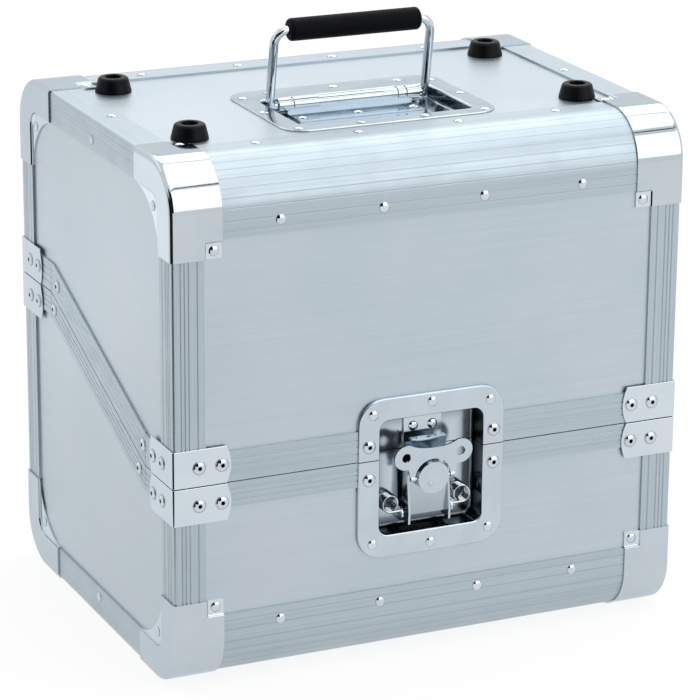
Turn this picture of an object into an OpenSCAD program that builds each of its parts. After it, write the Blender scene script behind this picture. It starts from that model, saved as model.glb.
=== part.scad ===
// Record carrying case: a rounded aluminium-faced box whose lid is split off along a
// line that is low at the front and high at the rear, with a butterfly latch, a
// folding handle in a dish, riveted corner plates and stacking feet on top.
// Millimetres. +Z is up, the front faces -Y, and the origin is the centre of the
// case on the surface that its bottom corner plates stand on.

/* [Case] */
// Width across the side edge profiles
case_w = 365; // [345:1:420]
// Depth across the front and rear edge profiles
case_d = 282; // [260:1:340]
// Height over the top and bottom corner plates
case_h = 355; // [335:1:400]
// Thickness of the laminated wall panels
panel_t = 7; // [5:0.5:9]
// Wall of every aluminium edge profile
edge_t = 1.5; // [1.2:0.1:2]
// Outer radius of the four edges that run from side to side
round_r = 33; // [28:1:40]
// Reach of a rounded edge profile over the panels, from the corner
round_leg = 49.5; // [46:0.5:60]
// Leg of the straight corner angles
angle_leg = 22; // [18:1:28]
// Thickness of the foam lining
lining_t = 3; // [2:0.5:5]

/* [Split between base and lid] */
// Height of the split at the front
split_front = 141.7; // [136:0.1:150]
// Height of the split at the rear
split_rear = 210.4; // [200:0.1:225]
// Length of the level stretch at the front
level_front = 50; // [46:1:60]
// Length of the level stretch at the rear
level_rear = 56; // [46:1:66]
// Height of the lid's closing profile
lid_band = 21.5; // [18:0.5:26]
// Height of the base's closing profile
base_band = 17; // [15:0.5:24]
// Gap between the two closing profiles
split_gap = 0.6; // [0.3:0.1:1.2]
// Height of the tongue on the base
tongue_h = 3.5; // [2:0.5:5]
// Width of the tongue on the base
tongue_w = 2; // [1.5:0.1:2.6]

/* [Corner plates and brackets] */
// Sheet thickness of the corner plates and brackets
plate_t = 1.2; // [0.8:0.1:1.6]
// Reach of a corner plate along each face
corner_len = 61; // [58:1:75]
// Width of a corner plate across the front and top
corner_w = 34; // [30:1:45]
// Length of a split bracket along each face
bracket_len = 39.5; // [35:0.5:46]
// Height of a split bracket
bracket_h = 25.2; // [22:0.2:30]
// Sagitta of a bracket's bulged end
bracket_bulge = 3; // [2:0.5:5]

/* [Rivets] */
// Radius of a plain rivet head
rivet_r = 3.5; // [2.5:0.1:4]
// Height of a plain rivet head
rivet_h = 1.2; // [1:0.1:2.5]
// Radius of the flange of a large rivet
flange_r = 4.8; // [4.2:0.1:5.4]
// Height of the flat rivet heads under the case
under_h = 0.8; // [0.5:0.1:1.1]
// Rivets in a row along a rounded edge
row_n = 4; // [3:1:6]
// Distance between the rivets in a row
row_pitch = 72; // [50:1:90]
// Distance of a rivet row from the case corner
row_in = 40.2; // [36:0.5:46]

/* [Hinges] */
// Distance of each hinge from the middle of the case
hinge_x = 95; // [60:1:115]
// Width of a hinge
hinge_w = 60; // [40:1:80]
// Height of a hinge leaf
leaf_h = 15.5; // [12:0.5:17]
// Thickness of a hinge leaf
leaf_t = 1.5; // [1:0.1:2]
// Radius of a hinge pin
pin_r = 1.6; // [1.2:0.1:2]
// Number of knuckles on a hinge
knuckle_n = 5; // [3:2:7]

/* [Latch] */
// Width of the latch dish
dish_w = 106.5; // [100:0.5:120]
// Height of the dish half on the lid
dish_up = 42.3; // [40:0.5:50]
// Height of the dish half on the base
dish_down = 69; // [66:0.5:76]
// Corner radius of the dish plate
dish_r = 18; // [10:1:24]
// Width of the dish's hollow
well_w = 75.5; // [72:0.5:82]
// Height of the hollow above the split
well_up = 26.8; // [24:0.2:30]
// Height of the hollow below the split
well_down = 53.2; // [51:0.2:58]
// Depth of the hollow behind the front face
well_depth = 16; // [15.5:0.5:20]
// Corner radius of the hollow
well_r = 7; // [3:0.5:12]
// Radius of the turning knob
knob_r = 11.1; // [10:0.1:11.6]
// Distance of the knob's middle below the split
knob_down = 15.2; // [14.6:0.2:17]
// Thickness of the butterfly key
key_t = 1.4; // [1:0.1:1.8]
// Distance of each key hole from the middle
lobe_x = 19.8; // [18:0.2:22]
// Height of the key holes above the knob's middle
lobe_up = 16; // [14.5:0.2:18]
// Radius of each key lobe
lobe_r = 8.6; // [7:0.2:9.4]
// Radius of each key hole
lobe_hole_r = 3.2; // [2:0.2:4]
// Throw of the eccentric that draws the hook
throw = 2.5; // [2:0.1:2.6]
// Thickness of the hook plate and the swinging frame
hook_t = 1.5; // [1.2:0.1:1.6]
// Width of the hook's stem
stem_w = 18; // [16:0.5:22]
// Width of the hook's head
hook_w = 25.5; // [22:0.5:27]
// Width of the swinging frame
frame_w = 31; // [28:0.2:32]
// Distance of the frame's pivot below the split
pin_down = 42.7; // [41:0.1:45]
// Forward tilt of the released latch, in degrees
tilt = 4; // [3:0.5:10]
// Outer radius of the latch springs
spring_r = 6.5; // [5:0.1:7]

/* [Handle] */
// Width of the handle dish
hdish_w = 155; // [150:1:180]
// Depth of the handle dish, front to rear
hdish_d = 113; // [104:1:120]
// Distance of the handle dish from the case front
hdish_y = 57; // [52:1:64]
// Corner radius of the handle dish
hdish_r = 17; // [8:1:24]
// Width of the hollow for the folded handle
hwell_w = 125; // [122:1:132]
// Distance of the hollow from the case front
hwell_y = 70.5; // [68:0.5:72.5]
// Depth of the hollow for the folded handle
hwell_depth = 9.5; // [9:0.5:12]
// Distance of the handle's pivot from the case front
pivot_y = 136; // [134:0.5:138]
// Depth of the handle's pivot below the top edge profiles
pivot_down = 3; // [2.4:0.1:4.6]
// Distance from the pivot to the middle of the grip
bail_len = 53.8; // [50:0.2:56]
// Radius of the handle wire
wire_r = 3.35; // [2.5:0.05:3.8]
// Distance of each handle arm from the middle
arm_x = 57.4; // [54:0.2:58]
// Lean of the standing handle towards the front, in degrees
lean = 9.5; // [4:0.1:20]
// Radius of the grip
grip_r = 7.7; // [7:0.1:8.8]
// Length of the grip
grip_len = 95.5; // [80:0.5:100]

/* [Feet] */
// Distance of each foot's middle from the case's left or right face
foot_in = 41.75; // [40:0.25:55]
// Distance of each foot's middle past the corner plate beside it
foot_past = 11; // [10.5:0.5:20]
// Radius of a foot at its base
foot_r = 12.4; // [10:0.1:13]
// Radius of a foot at its top
foot_top_r = 9.5; // [8.5:0.1:10]
// Height of a foot
foot_h = 9.6; // [8:0.1:16]

/* [Hidden] */
$fn = 64;

// Case faces
half_w = case_w / 2;
half_d = case_d / 2;
low_z = plate_t;                        // underside of the edge profiles
top_z = case_h - plate_t;               // top of the edge profiles
skin = edge_t + panel_t;                // outer face of a profile to inner face of a panel
inner_w = half_w - skin;                // middle of the case to a side panel's inner face
inner_d = half_d - skin;                // middle of the case to the front panel's inner face
inner_leg = 12;                         // inner leg of a closing profile
far = 2 * (case_w + case_d + case_h);   // past everything
fine = 0.3;                             // gap between pieces of different bodies
running = 0.05;                         // radial clearance of a shaft in its hole
groove_r = 0.35;                        // fine grooves along the profiles

// The split, seen from the side: level, slanted, level
knee_front = -half_d + level_front;
knee_rear = half_d - level_rear;
slant = atan2(split_rear - split_front, knee_rear - knee_front);
lid_web = split_gap + tongue_h + 0.8;   // lid web above the base's top, over the tongue
function split_line(d) = let (shift = d * tan(slant / 2)) [
    [-far, split_front + d], [knee_front - shift, split_front + d],
    [knee_rear - shift, split_rear + d], [far, split_rear + d]];
function flip(list) = [for (i = [len(list) - 1:-1:0]) list[i]];
function split_z(y) = y < knee_front ? split_front
    : y > knee_rear ? split_rear
    : split_front + (y - knee_front) * tan(slant);

// Helpers: a box by its limits, and outlines carried along X or Y
module box(x0, x1, y0, y1, z0, z1) translate([x0, y0, z0]) cube([x1 - x0, y1 - y0, z1 - z0]);
module along_x(x0, x1) translate([x0, 0, 0]) rotate([90, 0, 90]) linear_extrude(x1 - x0) children();
module along_y(y0, y1) translate([0, y1, 0]) rotate([90, 0, 0]) linear_extrude(y1 - y0) children();
module both_sides() { children(); mirror([1, 0, 0]) children(); }
module rounded(x0, x1, y0, y1, r) {
    translate([x0 + r, y0]) square([x1 - x0 - 2 * r, y1 - y0]);
    translate([x0, y0 + r]) square([x1 - x0, y1 - y0 - 2 * r]);
    for (x = [x0 + r, x1 - r], y = [y0 + r, y1 - r]) translate([x, y]) circle(r);
}

// Outlines in the side view (Y across, Z up)
module side_outline(inset) {
    rounded(-half_d + inset, half_d - inset, low_z + inset, top_z - inset, round_r - inset);
}
module below(d) polygon(concat(split_line(d), [[far, -far], [-far, -far]]));
module above(d) polygon(concat(split_line(d), [[far, far], [-far, far]]));
module band(d0, d1) polygon(concat(split_line(d0), flip(split_line(d1))));

// Places: a rounded edge and a corner, each drawn with its case corner at the origin,
// Y and Z running inwards
module at_edge(front, top) {
    mirror([0, front ? 0 : 1, 0]) translate([0, -half_d, top ? top_z : low_z])
        mirror([0, 0, top ? 1 : 0]) children();
}
module at_corner(left, front, top) {
    mirror([left ? 0 : 1, 0, 0]) at_edge(front, top) translate([-half_w, 0, 0]) children();
}

// ---- Wall panels ----
latch_cut = well_w / 2 + plate_t + 0.5;             // half width cleared for the latch hollow
latch_low = split_front - well_down - plate_t - 0.5;
latch_high = split_front + well_up + plate_t + 0.5;
module latch_clearance() box(-latch_cut, latch_cut, -far, 0, latch_low, latch_high);
module front_panel(z0, z1) difference() {
    box(-inner_w, inner_w, -half_d + edge_t, -inner_d, z0, z1);
    latch_clearance();
}
module rear_panel(z0, z1) box(-inner_w, inner_w, inner_d, half_d - edge_t, z0, z1);
module level_panel(z0, z1) box(-inner_w, inner_w, -half_d + round_r, half_d - round_r, z0, z1);
module side_panel_right(lid) along_x(inner_w, half_w - edge_t) intersection() {
    side_outline(edge_t);
    if (lid) above(lid_web + edge_t); else below(-edge_t);
}
module panel_colour() color([0.74, 0.80, 0.83]) children();
module base_front_panel() panel_colour() front_panel(low_z + round_r, split_front - edge_t);
module base_rear_panel() panel_colour() rear_panel(low_z + round_r, split_rear - edge_t);
module base_right_panel() panel_colour() side_panel_right(false);
module base_left_panel() mirror([1, 0, 0]) base_right_panel();
module base_floor_panel() panel_colour() level_panel(low_z + edge_t, low_z + skin);
module lid_front_panel() panel_colour()
    front_panel(split_front + lid_web + edge_t, top_z - round_r);
module lid_rear_panel() panel_colour()
    rear_panel(split_rear + lid_web + edge_t, top_z - round_r);
module lid_right_panel() panel_colour() side_panel_right(true);
module lid_left_panel() mirror([1, 0, 0]) lid_right_panel();
module lid_top_panel() panel_colour() difference() {
    level_panel(top_z - skin, top_z - edge_t);
    handle_clearance();
}

// ---- Rounded edge profiles: a skin with two lips, and an inner skin with two webs ----
groove_n = 8;                                        // grooves round the curve
module quarter_ring(r, t) intersection() {
    translate([round_r, round_r]) difference() { circle(r); circle(r - t); }
    square(round_r);
}
module edge_skin_section() difference() {
    union() {
        quarter_ring(round_r, edge_t);
        translate([round_r, 0]) square([round_leg - round_r, edge_t]);
        translate([0, round_r]) square([edge_t, round_leg - round_r]);
    }
    translate([round_r, round_r]) for (i = [0:groove_n - 1])
        rotate(180 + (i + 0.5) * 90 / groove_n) translate([round_r, 0]) circle(groove_r, $fn = 16);
}
module edge_core_section() {
    quarter_ring(round_r - panel_t, edge_t);
    translate([round_r - edge_t, edge_t]) square([edge_t, panel_t]);
    translate([edge_t, round_r - edge_t]) square([panel_t, edge_t]);
}
module profile_colour() color([0.68, 0.74, 0.77]) children();
module rounded_edge(front, top) profile_colour() at_edge(front, top) {
    along_x(-half_w, half_w) edge_skin_section();
    along_x(-inner_w, inner_w) edge_core_section();
}
module base_front_edge() rounded_edge(true, false);
module base_rear_edge() rounded_edge(false, false);
module lid_front_edge() rounded_edge(true, true);
module lid_rear_edge() rounded_edge(false, true);

// ---- Straight corner angles: along the sides, and upright posts ----
angle_grooves = [6, 11.5, 17];                       // distance of each groove from the corner
module angle_section() difference() {
    square(angle_leg);
    translate([edge_t, edge_t]) square(angle_leg);
    for (g = angle_grooves) {
        translate([g, 0]) circle(groove_r, $fn = 16);
        translate([0, g]) circle(groove_r, $fn = 16);
    }
}
side_edge_y = half_d - round_leg;                    // half length of a side edge
module right_edge(top) profile_colour() translate([half_w, 0, top ? top_z : low_z])
    mirror([0, 0, top ? 1 : 0]) mirror([1, 0, 0]) along_y(-side_edge_y, side_edge_y) angle_section();
module base_right_edge() right_edge(false);
module base_left_edge() mirror([1, 0, 0]) base_right_edge();
module lid_right_edge() right_edge(true);
module lid_left_edge() mirror([1, 0, 0]) lid_right_edge();
module posts(front, z0, z1) profile_colour() both_sides() mirror([0, front ? 0 : 1, 0])
    translate([-half_w, -half_d, z0]) linear_extrude(z1 - z0) angle_section();
module base_front_posts() posts(true, low_z + round_leg, split_front);
module base_rear_posts() posts(false, low_z + round_leg, split_rear);
module lid_front_posts() posts(true, split_front + split_gap, top_z - round_leg);
module lid_rear_posts() posts(false, split_rear + split_gap, top_z - round_leg);

// ---- Closing profiles: the base's carries a tongue, the lid's a channel over it ----
band_grooves = [0.28, 0.5, 0.72];                    // groove places, as shares of the band
tongue_in = edge_t + panel_t / 2;                    // middle of the tongue behind the face
module level_section(lid) {                          // Y from the face inwards, Z from the split
    d0 = lid ? split_gap : -base_band;
    d1 = lid ? lid_band : 0;
    web = lid ? lid_web : -edge_t;
    difference() {
        translate([0, d0]) square([edge_t, d1 - d0]);
        for (s = band_grooves) translate([0, d0 + s * (d1 - d0)]) circle(groove_r, $fn = 16);
    }
    translate([edge_t, web]) square([panel_t, edge_t]);
    translate([skin, lid ? split_gap : -inner_leg]) square([edge_t, inner_leg]);
    if (!lid) translate([tongue_in - tongue_w / 2, 0]) square([tongue_w, tongue_h]);
}
module slice(y0, y1) intersection() {                // keeps a section between two depths
    children();
    translate([y0, -far]) square([y1 - y0, 2 * far]);
}
module across(reach) along_x(-reach, reach) children();
module level_rail(lid, front) mirror([0, front ? 0 : 1, 0])
    translate([0, -half_d, front ? split_front : split_rear]) {
        across(half_w - angle_leg) slice(0, edge_t) level_section(lid);
        across(inner_w) slice(edge_t, skin) level_section(lid);
        across(inner_w - edge_t) slice(skin, skin + edge_t) level_section(lid);
    }
module base_front_rail() profile_colour() difference() {
    level_rail(false, true);
    latch_clearance();
}
module lid_front_rail() profile_colour() difference() {
    level_rail(true, true);
    latch_clearance();
}
module base_rear_rail() profile_colour() level_rail(false, false);
module lid_rear_rail() profile_colour() level_rail(true, false);
rail_end = half_d - angle_leg;                       // the outer leg stops at the posts
module right_rail(lid) difference() {
    d0 = lid ? split_gap : -base_band;
    d1 = lid ? lid_band : 0;
    union() {
        along_x(half_w - edge_t, half_w) slice(-rail_end, rail_end) band(d0, d1);
        along_x(inner_w, half_w - edge_t) slice(-half_d + edge_t, half_d - edge_t)
            if (lid) band(lid_web, lid_web + edge_t); else band(-edge_t, 0);
        along_x(inner_w - edge_t, inner_w) slice(-inner_d, inner_d)
            if (lid) band(split_gap, split_gap + inner_leg); else band(-inner_leg, 0);
        if (!lid) along_x(half_w - tongue_in - tongue_w / 2, half_w - tongue_in + tongue_w / 2)
            slice(-inner_d, inner_d) band(0, tongue_h);
    }
    along_x(half_w - groove_r, far) for (s = band_grooves) let (g = d0 + s * (d1 - d0))
        band(g - groove_r, g + groove_r);
    for (y = [knee_front, knee_rear]) box(0, far, y - joint_gap / 2, y + joint_gap / 2, 0, far);
}
joint_gap = 0.3;                                     // saw cut between the rail's lengths
module base_right_rail() profile_colour() right_rail(false);
module base_left_rail() mirror([1, 0, 0]) base_right_rail();
module lid_right_rail() profile_colour() right_rail(true);
module lid_left_rail() mirror([1, 0, 0]) lid_right_rail();

// ---- Corner plates: a wrap over the rounded edge, a band on the side, a sunk gusset ----
ear_in = edge_t - plate_t;                           // sunk faces lie on the panel
gusset_c = corner_len + 5;                           // centre of the gusset's hollow arc
module corner_wrap_section(reach) difference() {     // a sheet over the rounded edge
    intersection() {
        rounded(-plate_t, far, -plate_t, far, round_r + plate_t);
        translate([-plate_t, -plate_t]) square(reach + plate_t);
    }
    rounded(0, far + 1, 0, far + 1, round_r);
}
module band_hole(r) rounded(r, far, r, far, max(round_r - r, 2));
module ear() {                                       // on the front face, at the wrap's end
    box(angle_leg, corner_w, ear_in, edge_t, round_leg, corner_len);
    box(angle_leg, angle_leg + plate_t, -plate_t, edge_t, round_leg, corner_len);
    box(angle_leg, corner_w, -plate_t, edge_t, round_leg, round_leg + plate_t);
}
module corner_plate() {
    along_x(-plate_t, corner_w) corner_wrap_section(round_leg + plate_t);
    along_x(-plate_t, angle_leg + plate_t) corner_wrap_section(corner_len);
    ear();
    mirror([0, 1, -1]) ear();
    along_x(-plate_t, 0) difference() {
        intersection() {
            rounded(-plate_t, far, -plate_t, far, round_r + plate_t);
            translate([-plate_t, -plate_t]) square(corner_len + plate_t);
        }
        band_hole(angle_leg);
    }
    along_x(-plate_t, edge_t) intersection() {
        difference() { band_hole(angle_leg); band_hole(angle_leg + plate_t); }
        square(corner_len);
    }
    along_x(ear_in, edge_t) difference() {
        intersection() { band_hole(angle_leg); square(corner_len); }
        translate([gusset_c, gusset_c]) circle(gusset_c - angle_leg);
    }
}
module corner_pair(front, top) color([0.86, 0.88, 0.91]) {
    at_corner(true, front, top) corner_plate();
    at_corner(false, front, top) corner_plate();
}
module base_front_corners() corner_pair(true, false);
module base_rear_corners() corner_pair(false, false);
module lid_front_corners() corner_pair(true, true);
module lid_rear_corners() corner_pair(false, true);

// ---- Split brackets: folded plates over the upright corners, with bulged ends ----
bulge_r = (pow(bracket_h / 2, 2) + pow(bracket_bulge, 2)) / (2 * bracket_bulge);
module bracket_leaf() intersection() {               // across, up
    translate([-plate_t, 0]) square([bracket_len + plate_t, bracket_h]);
    translate([bracket_len - bulge_r, bracket_h / 2]) circle(bulge_r);
}
module bracket() {
    along_y(-plate_t, 0) bracket_leaf();
    along_x(-plate_t, 0) bracket_leaf();
}
module bracket_pair(front, z) color([0.84, 0.86, 0.89]) both_sides()
    mirror([0, front ? 0 : 1, 0]) translate([-half_w, -half_d, z]) bracket();
module base_front_brackets() bracket_pair(true, split_front - bracket_h);
module base_rear_brackets() bracket_pair(false, split_rear - bracket_h);
module lid_front_brackets() bracket_pair(true, split_front + split_gap);
module lid_rear_brackets() bracket_pair(false, split_rear + split_gap);

// ---- Rivet heads, each drawn standing up in Z and turned to its face ----
module dome(r, h) {
    ball = (r * r + h * h) / (2 * h);
    rotate_extrude() intersection() {
        translate([0, h - ball]) circle(ball);
        square([r, h]);
    }
}
flange_t = 0.4;                                      // thickness of a large rivet's flange
module plain_rivet(h = rivet_h) dome(rivet_r, h);
module large_rivet() {
    cylinder(r = flange_r, h = flange_t);
    translate([0, 0, flange_t]) dome(rivet_r, rivet_h);
}
module facing_front(x, out, z) translate([x, -half_d - out, z]) rotate([90, 0, 0]) children();
module facing_side(out, y, z) translate([half_w + out, y, z]) rotate([0, 90, 0]) children();
module facing_up(x, y, z) translate([x, y, z]) children();
module edge_row() for (i = [0:row_n - 1])            // drawn for the case corner at the origin
    let (x = (i - (row_n - 1) / 2) * row_pitch) {
        translate([x, 0, row_in]) rotate([90, 0, 0]) plain_rivet();
        translate([x, row_in, 0]) rotate([180, 0, 0]) children();
    }
ear_mid = (corner_w + angle_leg + plate_t) / 2;
ear_row = (corner_len + round_leg + plate_t) / 2;
gusset_rivet = angle_leg + 9.4;                      // rivet in the gusset, from both faces
module corner_rivets(h) {                            // drawn for the left corner at the origin
    translate([ear_mid, ear_in, ear_row]) rotate([90, 0, 0]) plain_rivet();
    translate([ear_mid, ear_row, ear_in]) rotate([180, 0, 0]) plain_rivet(h);
    translate([ear_in, gusset_rivet, gusset_rivet]) rotate([0, -90, 0]) plain_rivet();
}
bracket_rivets = [17.2, 33];                         // distance of each rivet from the edge
module bracket_heads(front, z) both_sides() mirror([0, front ? 0 : 1, 0])
    for (s = bracket_rivets) {
        facing_front(-half_w + s, plate_t, z + bracket_h / 2) large_rivet();
        mirror([1, 0, 0]) facing_side(plate_t, -half_d + s, z + bracket_h / 2) large_rivet();
    }
side_mid_in = 14.6;                                  // side edge's rivets, from the corner
rail_rivet_in = 8;                                   // rail rivets, from the saw cuts
module side_heads(lid) {                             // heads on a side, drawn on the right
    mid_z = lid ? top_z - side_mid_in : low_z + side_mid_in;
    up = lid ? lid_band / 2 + split_gap : -base_band / 2;
    facing_side(0, 0, mid_z) plain_rivet();
    for (y = [knee_front + rail_rivet_in, knee_rear - rail_rivet_in])
        facing_side(0, y - up * sin(slant), split_z(y) + up * cos(slant)) plain_rivet();
}
leaf_rivets = [-0.34, 0, 0.34];                      // as shares of the hinge width
module hinge_heads(up) both_sides() for (s = leaf_rivets)
    translate([hinge_x + s * hinge_w, half_d + leaf_t, split_rear + up])
        rotate([-90, 0, 0]) plain_rivet();
module base_rivets() color([0.80, 0.83, 0.86]) {
    for (front = [true, false]) {
        at_edge(front, false) edge_row() plain_rivet(under_h);
        for (left = [true, false]) at_corner(left, front, false) corner_rivets(under_h);
        bracket_heads(front, (front ? split_front : split_rear) - bracket_h);
    }
    both_sides() {
        side_heads(false);
        translate([half_w - side_mid_in, 0, low_z]) rotate([180, 0, 0]) plain_rivet(under_h);
    }
    hinge_heads(-leaf_rivet_in);
    dish_heads(false);
}
module lid_rivets() color([0.80, 0.83, 0.86]) {
    for (front = [true, false]) {
        at_edge(front, true) edge_row() plain_rivet();
        for (left = [true, false]) at_corner(left, front, true) corner_rivets(rivet_h);
        bracket_heads(front, (front ? split_front : split_rear) + split_gap);
    }
    both_sides() {
        side_heads(true);
        facing_up(half_w - side_mid_in, 0, top_z) plain_rivet();
    }
    hinge_heads(split_gap + leaf_rivet_in);
    dish_heads(true);
    keeper_heads();
    handle_heads();
}

// ---- Foam lining: a sheet over every inner wall, stopping short of the rails ----
lining_gap = 0.2;
module lining(lid) difference() {
    union() {
        along_x(-inner_w + lining_gap, inner_w - lining_gap) intersection() {
            difference() {
                side_outline(skin + lining_gap);
                side_outline(skin + lining_gap + lining_t);
            }
            if (lid) above(split_gap + inner_leg + fine); else below(-inner_leg - fine);
        }
        both_sides() along_x(inner_w - lining_gap - lining_t, inner_w - lining_gap) intersection() {
            side_outline(skin + lining_gap);
            if (lid) above(split_gap + inner_leg + fine); else below(-inner_leg - fine);
        }
    }
    latch_clearance();
    if (lid) handle_clearance();
}
module base_lining() color([0.12, 0.12, 0.13]) lining(false);
module lid_lining() color([0.12, 0.12, 0.13]) lining(true);

// ---- Rear hinges ----
knuckle_r = pin_r + 1.8;
hinge_out = knuckle_r + 0.6;                         // pin behind the rear face
hinge_z = split_rear + split_gap / 2;
leaf_rivet_in = leaf_h * 0.62;
knuckle_w = hinge_w / knuckle_n;
module leaf(lid) {                                   // drawn for a hinge at x = 0
    sign_z = lid ? 1 : -1;
    difference() {
        union() {
            translate([0, 0, hinge_z]) mirror([0, 0, lid ? 0 : 1])
                box(-hinge_w / 2, hinge_w / 2, half_d, half_d + leaf_t, split_gap / 2, leaf_h);
            for (i = [lid ? 1 : 0:2:knuckle_n - 1]) let (x = -hinge_w / 2 + i * knuckle_w) {
                translate([x + fine / 2, half_d + hinge_out, hinge_z]) rotate([0, 90, 0])
                    cylinder(r = knuckle_r, h = knuckle_w - fine);
                translate([0, 0, hinge_z]) mirror([0, 0, lid ? 0 : 1])
                    box(x + fine / 2, x + knuckle_w - fine / 2, half_d + 0.6, half_d + hinge_out,
                        split_gap / 2, knuckle_r);
            }
        }
        for (i = [lid ? 0 : 1:2:knuckle_n - 1]) let (x = -hinge_w / 2 + i * knuckle_w)
            box(x - fine / 2, x + knuckle_w + fine / 2, half_d - 1, far,
                hinge_z - knuckle_r - 0.6, hinge_z + knuckle_r + 0.6);
        translate([-hinge_w, half_d + hinge_out, hinge_z]) rotate([0, 90, 0])
            cylinder(r = pin_r + (lid ? running : 0), h = 2 * hinge_w);
    }
}
module hinge_base_leaves() color([0.80, 0.82, 0.85]) both_sides() translate([hinge_x, 0, 0]) leaf(false);
module hinge_lid_leaves() color([0.80, 0.82, 0.85]) both_sides() translate([hinge_x, 0, 0]) leaf(true);
module hinge_pins() color([0.7, 0.72, 0.74]) both_sides()
    translate([hinge_x - hinge_w / 2, half_d + hinge_out, hinge_z]) rotate([0, 90, 0])
        cylinder(r = pin_r, h = hinge_w);

// ---- Latch dish: two halves of a pressed tray, meeting at the split ----
dish_top = split_front + dish_up;
dish_low = split_front - dish_down;
well_top = split_front + well_up;
well_low = split_front - well_down;
module dish_outline(inset = 0) rounded(-dish_w / 2 + inset, dish_w / 2 - inset,
    dish_low + inset, dish_top - inset, dish_r - inset);
module well_outline(grow = 0) rounded(-well_w / 2 - grow, well_w / 2 + grow,
    well_low - grow, well_top + grow, well_r + grow);
module tray(z0, z1, rim0, rim1) translate([0, -half_d, 0]) {
    slab(z0, z1) {
        along_y(-plate_t, 0) difference() {
            dish_outline();
            well_outline();
        }
        along_y(-plate_t, well_depth) difference() {
            well_outline(plate_t);
            well_outline();
        }
        along_y(well_depth - plate_t, well_depth) well_outline(plate_t);
    }
    slab(rim0, rim1) along_y(0, edge_t) difference() {
        dish_outline();
        dish_outline(plate_t);
    }
}
module slab(z0, z1) intersection() {
    union() children();
    box(-dish_w, dish_w, -far, far, z0, z1);
}
lug_w = 1.5;                                         // lugs that carry the pivot pin
lug_x = frame_w / 2 + 2;
lug_r = 5;
pin_in = 9;                                          // depth of the pivot behind the front
floor_in = well_depth - plate_t;                     // depth of the hollow's floor
module pivot_lugs() both_sides() along_x(lug_x, lug_x + lug_w)
    translate([-half_d + pin_in, split_front - pin_down]) difference() {
        union() {
            circle(lug_r);
            translate([0, -lug_r]) square([floor_in - pin_in, 2 * lug_r]);
        }
        circle(pivot_r);
    }
module dish_colour() color([0.82, 0.84, 0.87]) children();
module latch_lid_dish() dish_colour()
    tray(split_front + split_gap, dish_top, split_front + lid_band, dish_top);
module latch_base_dish() dish_colour() {
    tray(dish_low, split_front, dish_low, split_front - base_band);
    pivot_lugs();
}
side_head_x = (well_w + dish_w) / 4;
side_head_z = [10.3, 12.7];                          // above and below the split
corner_head_in = 10.6;                               // corner rivets, from the dish's sides
middle_head_in = 6.2;                                // middle rivets, from the dish's ends
module dish_heads(lid) {
    sign_z = lid ? 1 : -1;
    reach = lid ? dish_up : dish_down;
    facing_front(0, plate_t, split_front + sign_z * (reach - middle_head_in)) plain_rivet();
    both_sides() {
        facing_front(dish_w / 2 - corner_head_in, plate_t,
            split_front + sign_z * (reach - corner_head_in)) plain_rivet();
        facing_front(side_head_x, plate_t,
            split_front + sign_z * side_head_z[lid ? 0 : 1]) large_rivet();
    }
}

// ---- Latch mechanism: X across, Y behind the front face, Z above the split. The
// frame carries the knob and the hook, and tilts forward about its pivot pin ----
pivot_r = 1.5;
frame_in = 5;                                        // front face of the frame's plate
flange_down = 7;                                     // depth of the frame's flanges
frame_top = -knob_down + 5.7;
frame_low = -pin_down - 1;
flange_low = -pin_down - 6;
flange_front = 0.8;                                  // front edge of the flanges, low down
shaft_r = 4;
ecc_r = 2.2;                                         // eccentric pin
hook_in = frame_in + hook_t + fine;                  // front face of the hook plate
hook_foot = -pin_down + pivot_r + 2 * throw + 1;
hook_top = 9.8;
tip_depth = 4.6;                                     // depth of the hook's turned-in tip
slot_half = ecc_r + 0.22 * throw + fine;             // the eccentric's sine against its mean
keeper_gap = 0.3;                                    // drawn hook above the keeper's shelf
shelf_top = hook_top - hook_t - 2 * throw - keeper_gap;
knob_front = -3;                                     // knob's face, from the case's front
key_in = -0.6;                                       // key's pivot behind the front face
key_pin_r = 1;
key_eye_r = 1.8;
key_half = 16;                                       // half width of the key at its pivot
key_gap = 1.9;                                       // key's cut-out round the knob
module at_latch() translate([0, -half_d, split_front]) children();
module released() at_latch() translate([0, pin_in, -pin_down]) rotate([tilt, 0, 0])
    translate([0, -pin_in, pin_down]) children();
module rod_x(r, x0, x1, y, z) translate([x0, y, z]) rotate([0, 90, 0]) cylinder(r = r, h = x1 - x0);
module rod_y(r, y0, y1, x, z) translate([x, y1, z]) rotate([90, 0, 0]) cylinder(r = r, h = y1 - y0);
module latch_pivot_pin() color([0.7, 0.72, 0.74]) at_latch()
    rod_x(pivot_r, -lug_x - lug_w, lug_x + lug_w, pin_in, -pin_down);
module latch_frame() color([0.78, 0.80, 0.83]) released() difference() {
    union() {
        box(-frame_w / 2, frame_w / 2, frame_in, frame_in + hook_t, frame_low, frame_top);
        both_sides() along_x(frame_w / 2 - hook_t, frame_w / 2) polygon([
            [frame_in + flange_down, flange_low], [frame_in + flange_down, frame_top],
            [frame_in, frame_top], [frame_in, -knob_down - 5],
            [flange_front, flange_low + 8], [flange_front, flange_low]]);
    }
    rod_y(shaft_r + running, 0, well_depth, 0, -knob_down);
    rod_x(pivot_r + running, -frame_w, frame_w, pin_in, -pin_down);
}
module latch_hook() color([0.80, 0.82, 0.85]) released() difference() {
    union() {
        box(-stem_w / 2, stem_w / 2, hook_in, hook_in + hook_t, hook_foot, hook_top);
        box(-hook_w / 2, hook_w / 2, hook_in, hook_in + hook_t, frame_top + 2 * throw + 4, hook_top);
        box(-hook_w / 2, hook_w / 2, hook_in, hook_in + tip_depth, hook_top - hook_t, hook_top);
    }
    box(-ecc_r - throw - fine, ecc_r + throw + fine, 0, well_depth,
        -knob_down + throw - slot_half, -knob_down + throw + slot_half);
}
ecc_head_r = slot_half + 1;
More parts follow.
